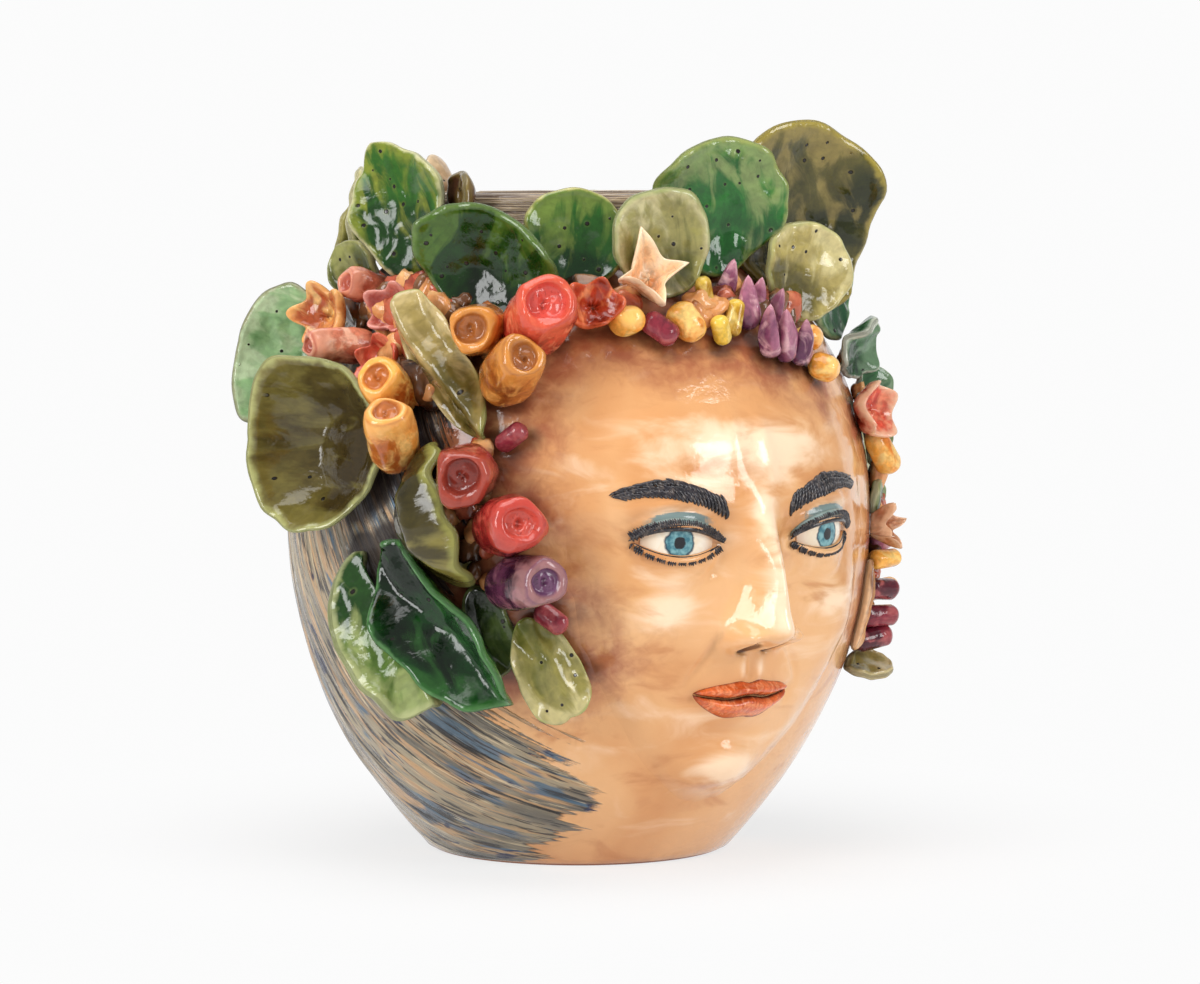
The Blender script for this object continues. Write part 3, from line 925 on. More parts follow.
# %% Group: skin
flesh, given, result = new_group(
    "Skin glaze",
    [("Place", "Vector", None), ("Stain", "Float", 0.0), ("Blush", "Float", 0.0), ("Light", "Float", 0.15)],
    [("Color", "Color"), ("Height", "Float")])
broad = mottle(flesh, given["Place"], 11.0, 3, 0.5)
brush_way = add(flesh, "Mapping", {"Vector": given["Place"], "Rotation": (0.3, 0.5, 0.2),
                                   "Scale": (1.0, 1.0, 2.4)})
brushed = mottle(flesh, brush_way.outputs[0], 26.0, 5, 0.7)
speckle, blotch = mottle(flesh, given["Place"], 170.0, 4, 0.8), mottle(flesh, given["Place"], 40.0, 5, 0.8)
colour = mix(flesh, fade(flesh, broad, 0.36, 0.64), paint(220, 158, 102), paint(236, 184, 130))
light = calc(flesh, "ADD", given["Light"], sway(flesh, brushed, 1.4))
colour = mix(flesh, fade(flesh, light, 0.24, 0.80, 0.0, 0.95), colour, paint(254, 224, 190))
colour = mix(flesh, fade(flesh, brushed, 0.46, 0.27, 0.0, 0.6), colour, paint(196, 128, 76))
stain = calc(flesh, "ADD", given["Stain"], sway(flesh, brushed, 0.9))
blush = calc(flesh, "MULTIPLY", given["Blush"], fade(flesh, blotch, 0.30, 0.66, 0.60, 1.15))
blush = calc(flesh, "ADD", blush, sway(flesh, speckle, 0.55))
colour = mix(flesh, fade(flesh, blush, 0.18, 1.05, 0.0, 0.85), colour, paint(158, 80, 54))
colour = mix(flesh, fade(flesh, stain, 0.42, 1.0, 0.0, 0.92), colour, paint(88, 48, 32))
flesh.links.new(colour, result["Color"])
high = calc(flesh, "ADD", calc(flesh, "MULTIPLY", brushed, 0.5), calc(flesh, "MULTIPLY", speckle, 0.1))
flesh.links.new(high, result["Height"])
print("group", flesh.name, len(flesh.nodes), "nodes")

# %% [markdown]
# Hair is painted over the grooves with a dry brush: grey-blue and tan streaks, thin dark lines and
# a few strokes of strong blue. Every layer is the same noise at another width, stretched along the
# strands; the front of the hair breaks up into single brush ends.

# %% Group: brushed strands
strands, given, result = new_group(
    "Brushed strands", [("Strand", "Vector", None)],
    [("Color", "Color"), ("Height", "Float"), ("Break Up", "Float")])


def stretched(wide, long, shift, detail=2.0):
    place = add(strands, "VectorMath", {0: given["Strand"], 1: (1000 / wide, 1000 / long, 25.0)},
                operation="MULTIPLY")
    moved = add(strands, "VectorMath", {0: place.outputs[0], 1: (shift, shift * 3, shift)}, operation="ADD")
    return mottle(strands, moved.outputs[0], 1.0, detail, 0.5)


broad, line, hairline = stretched(14, 130, 1), stretched(3.4, 75, 5, 3.0), stretched(1.5, 34, 9, 3.0)
blue_at, navy_at, gap_at = stretched(8, 80, 14, 3.0), stretched(5.5, 40, 21, 3.0), stretched(2.8, 95, 33, 3.0)
pale_line = stretched(1.8, 48, 27, 3.0)
colour = mix(strands, fade(strands, broad, 0.40, 0.58), paint(112, 106, 94), paint(164, 150, 124))
colour = mix(strands, fade(strands, line, 0.48, 0.62, 0.0, 0.8), colour, paint(200, 158, 112))
colour = mix(strands, fade(strands, blue_at, 0.56, 0.64, 0.0, 0.8), colour, paint(62, 102, 130))
colour = mix(strands, fade(strands, pale_line, 0.58, 0.68, 0.0, 0.8), colour, paint(218, 198, 162))
colour = mix(strands, fade(strands, hairline, 0.46, 0.37, 0.0, 0.88), colour, paint(44, 42, 44))
colour = mix(strands, fade(strands, navy_at, 0.62, 0.67, 0.0, 0.92), colour, paint(30, 36, 72))
colour = mix(strands, fade(strands, gap_at, 0.42, 0.34, 0.0, 0.95), colour, paint(26, 22, 22))
strands.links.new(colour, result["Color"])
high = calc(strands, "ADD", calc(strands, "MULTIPLY", line, 0.8), calc(strands, "MULTIPLY", hairline, 0.9))
strands.links.new(high, result["Height"])
strands.links.new(calc(strands, "SUBTRACT", line, 0.5), result["Break Up"])
print("group", strands.name, len(strands.nodes), "nodes")

# %% [markdown]
# The pot's material puts the parts together with masks that the mesh carries: how far a point is
# inside the hair, how near it is to the wreath, and whether it is the inside, the lip or the bare
# foot. Between the pieces of the wreath the wall is nearly black with pooled glaze.

# %% Glaze the pot
material, tree, shader = new_glaze("pot_glaze")
place = add(tree, "TexCoord").outputs["Object"]
strand, mark = read(tree, "strand"), add(tree, "SeparateXYZ", {0: read(tree, "marks")}).outputs
skin = use(tree, flesh, {"Place": place, "Stain": calc(tree, "MULTIPLY", mark[1], 0.8),
                         "Blush": calc(tree, "POWER", mark[1], 0.35)})
hair = use(tree, strands, {"Strand": strand})
wave = use(tree, fired, {"Place": place, "Waves": 0.5})
ragged = calc(tree, "ADD", mark[0], calc(tree, "MULTIPLY", hair["Break Up"], 3.2))
in_hair = fade(tree, ragged, -0.05, 0.22)
colour = mix(tree, in_hair, skin["Color"], hair["Color"])
lip = fade(tree, mark[2], 0.4, 0.6)
rough_lines = mix(tree, fade(tree, hair["Height"], 0.72, 1.05), paint(88, 66, 48), paint(196, 172, 138))
colour = mix(tree, lip, colour, rough_lines)
crowd = calc(tree, "MULTIPLY", mark[1], fade(tree, in_hair, 0.0, 1.0, 0.62, 1.4))
crowd = calc(tree, "ADD", crowd, sway(tree, mottle(tree, place, 90.0, 4), 0.5))
dark = fade(tree, crowd, 0.45, 0.95, 0.0, 0.92)
colour = mix(tree, dark, colour, paint(36, 22, 18))
bare = fade(tree, mark[2], -0.4, -0.6)
colour = mix(tree, bare, colour, paint(178, 112, 76))
gloss = add(tree, "Mix", {0: bare, 2: wave["Gloss"], 3: 0.85}, data_type="FLOAT").outputs[0]
line_high = calc(tree, "MULTIPLY", hair["Height"], calc(tree, "MAXIMUM", in_hair, lip))
gloss = calc(tree, "MAXIMUM", gloss, calc(tree, "MULTIPLY", dark, 0.6))
high = calc(tree, "ADD", skin["Height"], wave["Height"])
high = calc(tree, "ADD", high, calc(tree, "MULTIPLY", line_high, 2.4))
wire(tree, shader, colour, gloss, high, 0.0012, 0.75)
pot_shell = finish_piece(bm, "pot_shell", material, ["pot_body"])
print("pot shell", len(pot_shell.data.vertices), "points")

# %% [markdown]
# ## The face
# The face is a calm one made for this jar, on the proportions of drawing books: three equal thirds
# from hairline to brow, to the base of the nose, to the chin, and five eye widths across. Heights
# above the pot's wall are sums of soft bumps and dents, much as a modeller adds and takes clay.

# %% Proportions
FACE_W = BELLY_R * math.radians(83)
HAIRLINE, CHIN = POT_H * 0.771, POT_H * 0.1265
THIRD = (HAIRLINE - CHIN) / 3
BROW = HAIRLINE - THIRD
NOSE_BASE = BROW - THIRD
MOUTH, EYE_W = NOSE_BASE - THIRD / 3, FACE_W / 5
EYE, EYE_X, MOUTH_HALF = BROW - THIRD / 4, EYE_W, EYE_W * 0.68
SLAB_TOP, SLAB_LOW = HAIRLINE - THIRD / 4, CHIN - THIRD / 6
print("brow, eyes, nose, mouth:", [round(z, 1) for z in (BROW, EYE, NOSE_BASE, MOUTH)])

# %% [markdown]
# A point of the face has a distance x along the wall from the middle of the face, a height z, and
# a height above the wall. The slab fades out at its edges, so it seems to grow out of the pot.

# %% Points on the face
def on_face(x, z, high):
    out = outward(math.degrees(x / BELLY_R))
    wall = out * pot_r(z) + Vector((0, 0, z))
    return wall + out * (high + swell(wall))


def face_half_w(z):
    middle = (SLAB_TOP + EYE) / 2
    s = (z - middle) / (SLAB_TOP - middle) if z > middle else (middle - z) / (middle - SLAB_LOW)
    top, power = (1 - s ** 3, 0.4) if z > middle else (1 - s ** 2.4, 0.62)
    return FACE_W / 2 * max(top, 0.01) ** power


def face_share(x, z):
    across = smooth(1 - abs(x) / face_half_w(z), 0, 0.45)
    return across * smooth((SLAB_TOP - z) / (THIRD * 0.45), 0, 1) * smooth((z - SLAB_LOW) / (THIRD * 0.4), 0, 1)


print("half width at the eyes", round(face_half_w(EYE), 1))

# %% [markdown]
# The nose is a wedge that widens to a round tip, with two wings and two nostrils under it. Brow
# ridges, sockets, cheeks, muzzle, lips' bed and chin are broad bumps; the crease over an eye, the
# channel over the lips and the hollow over the chin are narrow dents.

# %% Modelling the nose and the forms round it
NOSE_TOP, NOSE_TIP, NOSE_OUT = BROW - THIRD * 0.06, NOSE_BASE + THIRD * 0.14, 25
WING_X, NOSTRIL_X = 12.8, 7.2


def nose_height(x, z):
    up = (z - NOSE_TIP) / (NOSE_TOP - NOSE_TIP)
    if up >= 0:
        ridge = 0.13 + 0.87 * math.cos(math.pi / 2 * min(up, 1)) ** 1.1 if up < 1 else 0.13 * bump(up - 1, 0.25)
    else:
        ridge = max(1 - ((NOSE_TIP - z) / (NOSE_TIP - NOSE_BASE + 1)) ** 2, 0) ** 0.75
    wide = EYE_W / 2 * (0.36 + 0.28 * bump(up, 0.26) - 0.05 * bump(up - 0.45, 0.2))
    body = NOSE_OUT * 0.97 * ridge * math.exp(-1.1 * abs(x / wide) ** 2.1)
    wing = 13 * bump(abs(x) - WING_X, 5.0) * bump(z - NOSE_BASE - 6.4, 6.0)
    tip = 4.6 * bump(x, 7.5) * bump(z - NOSE_TIP, 7.5)
    nostril = -8.5 * bump(abs(x) - NOSTRIL_X, 3.2) * bump(z - NOSE_BASE - 1.4, 2.6)
    groove_by_wing = -1.6 * bump(abs(x) - 19, 2.4) * bump(z - NOSE_BASE - 8, 7)
    groove_by_wing -= 1.2 * bump(abs(x) - 8.6 - 0.25 * (z - NOSE_BASE), 1.8) * bump(z - NOSE_BASE - 9, 5)
    return body + wing + tip + nostril + groove_by_wing


def crease_z(eye_dx):
    return EYE + 15.5 - 0.011 * eye_dx ** 2


def fold_z(ax):
    return NOSE_BASE + 6 - (ax - 19) * 1.35


def forms(x, z):
    ax, eye_dx = abs(x), abs(x) - EYE_X
    high = THIRD * (0.060 * bump(eye_dx, EYE_W * 0.7) * bump(z - BROW, THIRD * 0.16)
                    - 0.034 * bump(eye_dx, EYE_W * 0.6) * bump(z - EYE, THIRD * 0.2)
                    + 0.090 * bump(ax - EYE_X * 1.35, EYE_W * 0.62)
                    * bump(z - NOSE_BASE - THIRD * 0.15, THIRD * 0.36)
                    + 0.060 * bump(x, EYE_W * 0.35) * bump(z - EYE, THIRD * 0.5)
                    + 0.085 * bump(x, EYE_W * 0.75) * bump(z - MOUTH, THIRD * 0.32)
                    + 0.170 * bump(x, EYE_W * 0.55) * bump(z - CHIN - THIRD * 0.12, THIRD * 0.22))
    crease = crease_z(eye_dx)
    high -= 1.7 * bump(z - crease, 2.0) * bump(eye_dx, EYE_W * 0.46)
    high += 1.3 * bump(z - crease - 6, 4.5) * bump(eye_dx, EYE_W * 0.5)
    high -= 0.9 * bump(z - EYE + 12 + 0.008 * eye_dx ** 2, 2.2) * bump(eye_dx, EYE_W * 0.42)
    channel = smooth(z, MOUTH + 7, MOUTH + 12) * smooth(NOSE_BASE + 1 - z, 0, 4)
    high += channel * (0.9 * bump(ax - 5.2, 2.4) - 1.3 * bump(x, 2.6))
    high -= 2.2 * bump(ax - MOUTH_HALF - 1.5, 4.5) * bump(z - MOUTH, 5)
    high -= 2.8 * bump(x, 17) * bump(z - MOUTH + 19, 5.5)
    high -= 1.5 * bump((z - fold_z(ax)) * 0.6, 2.6) * smooth(ax, 18, 22) * smooth(40 - ax, 0, 10)
    high += 0.9 * bump(ax - 8.5, 4) * bump(z - HAIRLINE + THIRD * 0.55, 20)
    high -= 0.7 * bump(x, 5) * bump(z - BROW - 5, 9)
    return high


EYE_R, EYE_OUT, LID_HALF = EYE_W * 0.42, 6, EYE_W * 0.53
LID_TOP, LID_LOW, LID_LEAN = 1.4, -1.2, 1.2


def eye_dome(dx, dz):
    return EYE_OUT * (0.15 + 0.85 * max(1 - (dx * dx + dz * dz) / EYE_R ** 2, 0))


def lid_edge(dx, is_upper):
    s = min(abs(dx) / LID_HALF, 1)
    return (LID_TOP + 6.6 * (1 - s * s)) if is_upper else (LID_LOW - 5.8 * (1 - s * s))


def skin_height(x, z, over_eyes=True):
    share = face_share(x, z)
    high = -0.4 + 4.1 * share + (forms(x, z) + nose_height(x, z)) * smooth(share, 0, 0.6)
    dx, dz = abs(x) - EYE_X, z - EYE
    from_ball = math.hypot(dx, dz)
    if over_eyes and from_ball < EYE_W * 0.6:
        over = smooth(EYE_W * 0.55 - from_ball, 0, EYE_W * 0.12)
        open_by = min(lid_edge(dx, True) - dz, dz - lid_edge(dx, False))
        closed = smooth(-open_by, -0.8, 0.8) if abs(dx) < LID_HALF else 1
        high += over * closed * (eye_dome(dx, dz) + 0.9)
    return high


tip_out = skin_height(0, NOSE_TIP) - skin_height(35, NOSE_TIP)
print("height of the nose's tip above the cheek:", round(tip_out, 1))

# %% [markdown]
# The clay of the face starts as a flat grid that is bent round the pot and pushed out by those
# heights. Rows are closer in the middle, where the nose and mouth need them. Solidify then gives it
# a back inside the pot's wall. Two attributes guide the glaze: tone holds the brown stain in the
# dents and near the wreath, the blush of the cheeks and the colour of the lids, and light says where
# the glaze lies thin and peachy.

# %% Model the face
bm = bmesh.new()
bmesh.ops.create_grid(bm, x_segments=176, y_segments=186, size=1)
tone, light = bm.verts.layers.float_vector.new("tone"), bm.verts.layers.float.new("light")
for v in bm.verts:
    z = SLAB_LOW + (SLAB_TOP - SLAB_LOW) * (1 + v.co.y) / 2
    x = face_half_w(z) * (0.68 * v.co.x + 0.32 * v.co.x ** 3)
    v.co = on_face(x, z, skin_height(x, z) + 0.35 * lumps((x, z, 0), 13, 4))
    ax, eye_dx = abs(x), abs(x) - EYE_X
    wreath = math.exp(-(near_wreath.find(v.co)[2] / 14) ** 2)
    nostril = 2.2 * bump(ax - NOSTRIL_X, 3.0) * bump(z - NOSE_BASE - 1.2, 2.6)
    lines = 0.55 * bump(z - crease_z(eye_dx), 1.6) * bump(eye_dx, EYE_W * 0.42)
    lines += 0.45 * bump(ax - 19.5, 1.8) * bump(z - NOSE_BASE - 7, 6)
    lines += 0.35 * bump(z - NOSE_BASE, 2.5) * bump(x, 15)
    lips_edge = 0.5 * bump(ax - MOUTH_HALF - 1, 3) * bump(z - MOUTH, 2.5)
    lips_edge += 0.30 * bump(x, 15) * bump(z - MOUTH + 15, 2.5)
    brow_shadow = 0.16 * bump(eye_dx, EYE_W * 0.6) * bump(z - BROW + 4, 6)
    cheek = 0.62 * bump(ax - EYE_X * 1.32, EYE_W * 0.42) * bump(z - NOSE_BASE - 4, THIRD * 0.24)
    lid = bump(eye_dx, EYE_W * 0.44) * smooth(z - EYE, 5, 9) * smooth(crease_z(eye_dx) + 0.5 - z, 0, 2)
    folds = 0.30 * bump((z - fold_z(ax)) * 0.6, 3.2) * smooth(ax, 17, 22) * smooth(44 - ax, 0, 12)
    sides = 0.34 * bump(ax - 12 - 0.12 * abs(z - EYE + 14), 4.5)
    sides *= smooth(z, NOSE_BASE + 8, NOSE_BASE + 20) * smooth(BROW - 4 - z, 0, 14)
    under = 0.30 * bump(x, 20) * bump(z - MOUTH + 21, 4) + 0.26 * bump(z - CHIN + 3, 7) * bump(x, 34)
    inner = smooth(face_share(x, z), 0, 0.5)
    v[tone] = Vector((0.8 * wreath + nostril + lines + lips_edge + brow_shadow + folds + sides + under,
                      (0.55 * cheek + 0.25 * bump(x, 9) * bump(z - NOSE_TIP, 9)) * inner + wreath ** 0.40,
                      lid))
    bridge = bump(x, 5.5) * smooth(z, NOSE_TIP - 6, NOSE_TIP + 4) * smooth(BROW + 10 - z, 0, 16)
    shine = 0.08 + 0.60 * bridge + 0.60 * bump(ax - EYE_X * 1.15, 15) * bump(z - NOSE_BASE - 21, 9)
    shine += 0.75 * bump(z - BROW - 24, 17) * bump(x, 46) + 0.45 * bump(eye_dx, 16) * bump(z - BROW + 4.5, 4)
    shine += 0.75 * bump(x, 17) * bump(z - CHIN - 10, 10) + 0.35 * bump(ax - 5.2, 1.8) * bump(z - MOUTH - 14, 6)
    v[light] = 0.15 + inner * shine
bmesh.ops.recalc_face_normals(bm, faces=bm.faces)
if sum(f.normal.dot(f.calc_center_median() * Vector((1, 1, 0))) for f in bm.faces) < 0:
    bmesh.ops.reverse_faces(bm, faces=bm.faces)
bmesh.ops.solidify(bm, geom=bm.faces, thickness=2.0)
face_material, tree, shader = new_glaze("face_glaze")
place = add(tree, "TexCoord").outputs["Object"]
tones = add(tree, "SeparateXYZ", {0: read(tree, "tone")}).outputs
skin = use(tree, flesh, {"Place": place, "Stain": tones[0], "Blush": tones[1],
                         "Light": read(tree, "light", "Fac")})
wave = use(tree, fired, {"Place": place, "Waves": 0.5})
lid_edges = calc(tree, "ADD", tones[2], calc(tree, "MULTIPLY", mottle(tree, place, 240.0, 4, 1.5), 0.5))
colour = mix(tree, fade(tree, lid_edges, 0.62, 0.95, 0.0, 0.85), skin["Color"], paint(76, 126, 134))
wire(tree, shader, colour, wave["Gloss"], calc(tree, "ADD", skin["Height"], wave["Height"]), 0.001, 0.6)
face = finish_piece(bm, "face_clay", face_material, ["face_slab", "nose"])
print("face", len(face.data.polygons), "faces")

# %% [markdown]
# ## Eyes, lids and lashes
# An eye is a domed button under two rolls of clay. Iris and pupil are painted as rings round the
# middle of the dome, which the mesh knows as a flat place of its own.

# %% Eyes
bm = bmesh.new()
leaf = bm.verts.layers.float_vector.new("leaf")
for side in (-1, 1):
    button = bmesh.ops.create_uvsphere(bm, u_segments=64, v_segments=40, radius=1)["verts"]
    for v in button:
        dx, dz = v.co.x * EYE_R, v.co.y * EYE_R
        x, z = side * EYE_X + dx, EYE + dz
        v[leaf] = Vector((dx, dz, side * 30)) * MM
        v.co = on_face(x, z, skin_height(x, z, False) + (eye_dome(dx, dz) if v.co.z > -1e-4 else -1.5))
material, tree, shader = new_glaze("eye_glaze")
leaf_at = read(tree, "leaf")
flat = add(tree, "SeparateXYZ", {0: leaf_at}).outputs
flat = add(tree, "CombineXYZ", {0: flat[0], 1: flat[1]}).outputs[0]
ring = add(tree, "VectorMath", {0: flat}, operation="LENGTH").outputs["Value"]
spokes = mottle(tree, add(tree, "VectorMath", {0: leaf_at}, operation="NORMALIZE").outputs[0], 9.0, 4)
uneven = calc(tree, "ADD", ring, sway(tree, mottle(tree, leaf_at, 330.0, 3), 0.0022))
cloudy = mottle(tree, leaf_at, 120.0, 3, 0.6)
white = mix(tree, fade(tree, cloudy, 0.4, 0.7), paint(238, 222, 196), paint(246, 238, 222))
white = mix(tree, fade(tree, uneven, 0.0105, 0.017, 0.0, 0.5), white, paint(206, 158, 120))
iris = mix(tree, fade(tree, spokes, 0.35, 0.65), paint(52, 112, 128), paint(128, 178, 184))
colour = mix(tree, fade(tree, uneven, 0.0079, 0.0068), white, paint(24, 56, 76))
colour = mix(tree, fade(tree, uneven, 0.0070, 0.0059), colour, iris)
colour = mix(tree, fade(tree, uneven, 0.0032, 0.0024), colour, paint(18, 20, 28))
skin = use(tree, fired, {"Place": leaf_at, "Waves": 0.3})
wire(tree, shader, colour, skin["Gloss"], skin["Height"], 0.0006, 0.4)
eye_buttons = finish_piece(bm, "eye_buttons", material, ["eyes"])
print("eyes", len(eye_buttons.data.polygons), "faces")

# %% [markdown]
# Lids, brow hairs and lashes are all rolls of clay or strokes of slip laid on the face. One function
# bends a sphere along a curved line on the skin, so every stroke is closed and tapers at both ends.

# %% A stroke laid on the face
def over_skin(x, z):
    dx, dz = abs(x) - EYE_X, z - EYE
    on_ball = smooth(EYE_W * 0.50 - math.hypot(dx, dz), 0, EYE_W * 0.08)
    return max(skin_height(x, z), skin_height(x, z, False) + eye_dome(dx, dz) * on_ball)


def stroke(bm, line, wide, high, around=10, along=14, blunt=0.5, lift=0.0, marks=None, mark=None):
    roll = bmesh.ops.create_uvsphere(bm, u_segments=around, v_segments=along, radius=1)["verts"]
    for v in roll:
        t = 0.5 + math.asin(clamp(v.co.z, -1, 1)) / math.pi
        ring = max(1 - (2 * t - 1) ** 2, 0) ** blunt
        (x0, z0), (x1, z1) = line(max(t - 0.01, 0)), line(min(t + 0.01, 1))
        x, z = line(t)
        run = Vector((x1 - x0, z1 - z0)).normalized()
        phi = math.atan2(v.co.y, v.co.x)
        off = math.cos(phi) * ring * wide(t) / 2
        px, pz = x - run.y * off, z + run.x * off
        v.co = on_face(px, pz, over_skin(px, pz) + lift + math.sin(phi) * ring * high(t))
        if marks is not None:
            v[marks] = Vector((t, math.cos(phi), mark)) if mark is not None else Vector((px * MM, pz * MM, t))
    return roll


def arc(x, z, half, rise, lean=0.0):
    return lambda t: (x + half * (2 * t - 1), z + rise * (1 - (2 * t - 1) ** 2) + lean * (2 * t - 1))


print("stroke helper ready")

# %% [markdown]
# A lid is one roll along the edge of an almond: the upper one is thicker and higher, the lower one
# flatter. The skin's glaze runs over both, and teal is brushed on the outer side of the upper one.

# %% Eyelids
LID_RISE, LID_SINK = 7.8, 6.8
bm = bmesh.new()
marks = bm.verts.layers.float_vector.new("tone")
for side in (-1, 1):
    upper = arc(side * EYE_X, EYE + LID_TOP, LID_HALF, LID_RISE, LID_LEAN * side)
    lower = arc(side * EYE_X, EYE + LID_LOW, EYE_W * 0.50, -LID_SINK, LID_LEAN * side)
    stroke(bm, upper, lambda t: 6.4, lambda t: 2.7, 18, 44, 0.36, 0.4, marks, 1.0)
    stroke(bm, lower, lambda t: 4.2, lambda t: 2.0, 18, 44, 0.40, 0.3, marks, 0.0)
material, tree, shader = new_glaze("eyelid_glaze")
place = add(tree, "TexCoord").outputs["Object"]
mark = add(tree, "SeparateXYZ", {0: read(tree, "tone")}).outputs
skin = use(tree, flesh, {"Place": place, "Stain": fade(tree, mark[1], 0.5, -0.9, 0.0, 0.45), "Blush": 0.1})
brushed_on = calc(tree, "ADD", mark[1], mottle(tree, place, 200.0, 4, 1.0))
teal = calc(tree, "MULTIPLY", mark[2], fade(tree, brushed_on, 0.1, 0.9))
colour = mix(tree, calc(tree, "MULTIPLY", teal, 0.85), skin["Color"], paint(84, 136, 142))
wave = use(tree, fired, {"Place": place, "Waves": 0.4})
wire(tree, shader, colour, wave["Gloss"], calc(tree, "ADD", skin["Height"], wave["Height"]), 0.0008, 0.5)
eyelid_rolls = finish_piece(bm, "eyelid_rolls", material, ["eyelids"])
print("lids", len(eyelid_rolls.data.polygons), "faces")

# %% [markdown]
# Lashes and brows are thick black slip, scratched with a needle while it was wet, so that each one
# stands as a bundle of short strokes. The strokes of a brow lean outwards along its arch, and each
# is a little different in length, lean and width.

# %% Lashes and brows
def slip_stroke(bm, x, z, lean, length, wide, bend, lift):
    turn = math.radians(lean)
    dx, dz = math.cos(turn) * length / 2, math.sin(turn) * length / 2
    side_x, side_z = -math.sin(turn) * bend, math.cos(turn) * bend
    line = lambda t: (x + dx * (2 * t - 1) + side_x * (1 - (2 * t - 1) ** 2),
                      z + dz * (2 * t - 1) + side_z * (1 - (2 * t - 1) ** 2))
    stroke(bm, line, lambda t: wide * (1.15 - 0.5 * t), lambda t: wide * 0.62, 8, 10, 0.5, lift)


bm = bmesh.new()
for side in (-1, 1):
    for number in range(46):
        s = number / 45 * 2 - 1
        dx = side * s * LID_HALF
        wobble = lumps((number * 3.1, side * 5, 0), 2.7, 3)
        top = EYE + LID_TOP + LID_RISE * (1 - s * s) + LID_LEAN * s
        slip_stroke(bm, side * EYE_X + dx, top + 0.4, 90 - side * (40 * s + 12 * wobble),
                    4.6 + 1.6 * wobble + 1.4 * s, 1.7, 0.4, 2.2)
        low = EYE + LID_LOW - LID_SINK * (1 - s * s) + LID_LEAN * s
        if number % 5 != 4:
            slip_stroke(bm, side * EYE_X + dx * 0.98, low - 1.4, -90 + side * (34 * s + 14 * wobble),
                        3.8 + 1.4 * wobble, 1.3, 0.3, 1.2)
    upper = arc(side * EYE_X, EYE - 0.2, EYE_W * 0.56, 7.2, LID_LEAN * side)
    lower = arc(side * EYE_X, EYE - 0.8, EYE_W * 0.50, -6.1, LID_LEAN * side)
    stroke(bm, upper, lambda t: 2.6, lambda t: 1.6, 12, 44, 0.4, 1.6)
    stroke(bm, lower, lambda t: 1.3, lambda t: 0.9, 10, 40, 0.4, 1.1)
slip, tree, shader = new_glaze("dark_slip_glaze")
place = add(tree, "TexCoord").outputs["Object"]
coat = use(tree, patches, {"Place": place, "Deep": paint(30, 28, 32), "Body": paint(46, 44, 50),
                           "Thin": paint(112, 100, 92), "Patch Scale": 150.0, "Streaks": 0.5})
skin = use(tree, fired, {"Place": place, "Waves": 0.4})
wire(tree, shader, coat["Color"], skin["Gloss"], calc(tree, "ADD", coat["Height"], skin["Height"]), 0.0008, 0.6)
lashes = finish_piece(bm, "lashes", slip)
bm = bmesh.new()
for side in (-1, 1):
    for number in range(78):
        s, row = (number % 26) / 25 * 2 - 1, number // 26 - 1
        wobble = lumps((number * 2.3, side * 5, 0), 2.1, 8)
        x = side * (EYE_X * 1.06 + (s + 0.03 * row) * EYE_W * 0.60)
        thin = 1 - 0.55 * max(s, 0) - 0.15 * max(-s, 0)
        z = BROW + 1.6 + 6.4 * (1 - (s - 0.25) ** 2) + row * 2.9 * thin + 0.8 * wobble
        lean = 78 - 82 * (s + 1) / 2 - row * 14 + 22 * wobble
        slip_stroke(bm, x, z, lean if side > 0 else 180 - lean, 7.0 + 3.0 * wobble, 2.2 * (0.6 + 0.4 * thin),
                    0.7 * side, 0.1)
brows = finish_piece(bm, "brow_strokes", slip, ["eyebrows"])
print("lashes", len(lashes.data.polygons), "brows", len(brows.data.polygons), "faces")

# %% [markdown]
# ## Lips
# A lip is a fat roll, pressed down along its outer edge. The upper one dips in the middle, the
# lower one is fuller. Coral glaze is brushed on across the roll and outlined in brown, and brown
# pools where the lips meet.

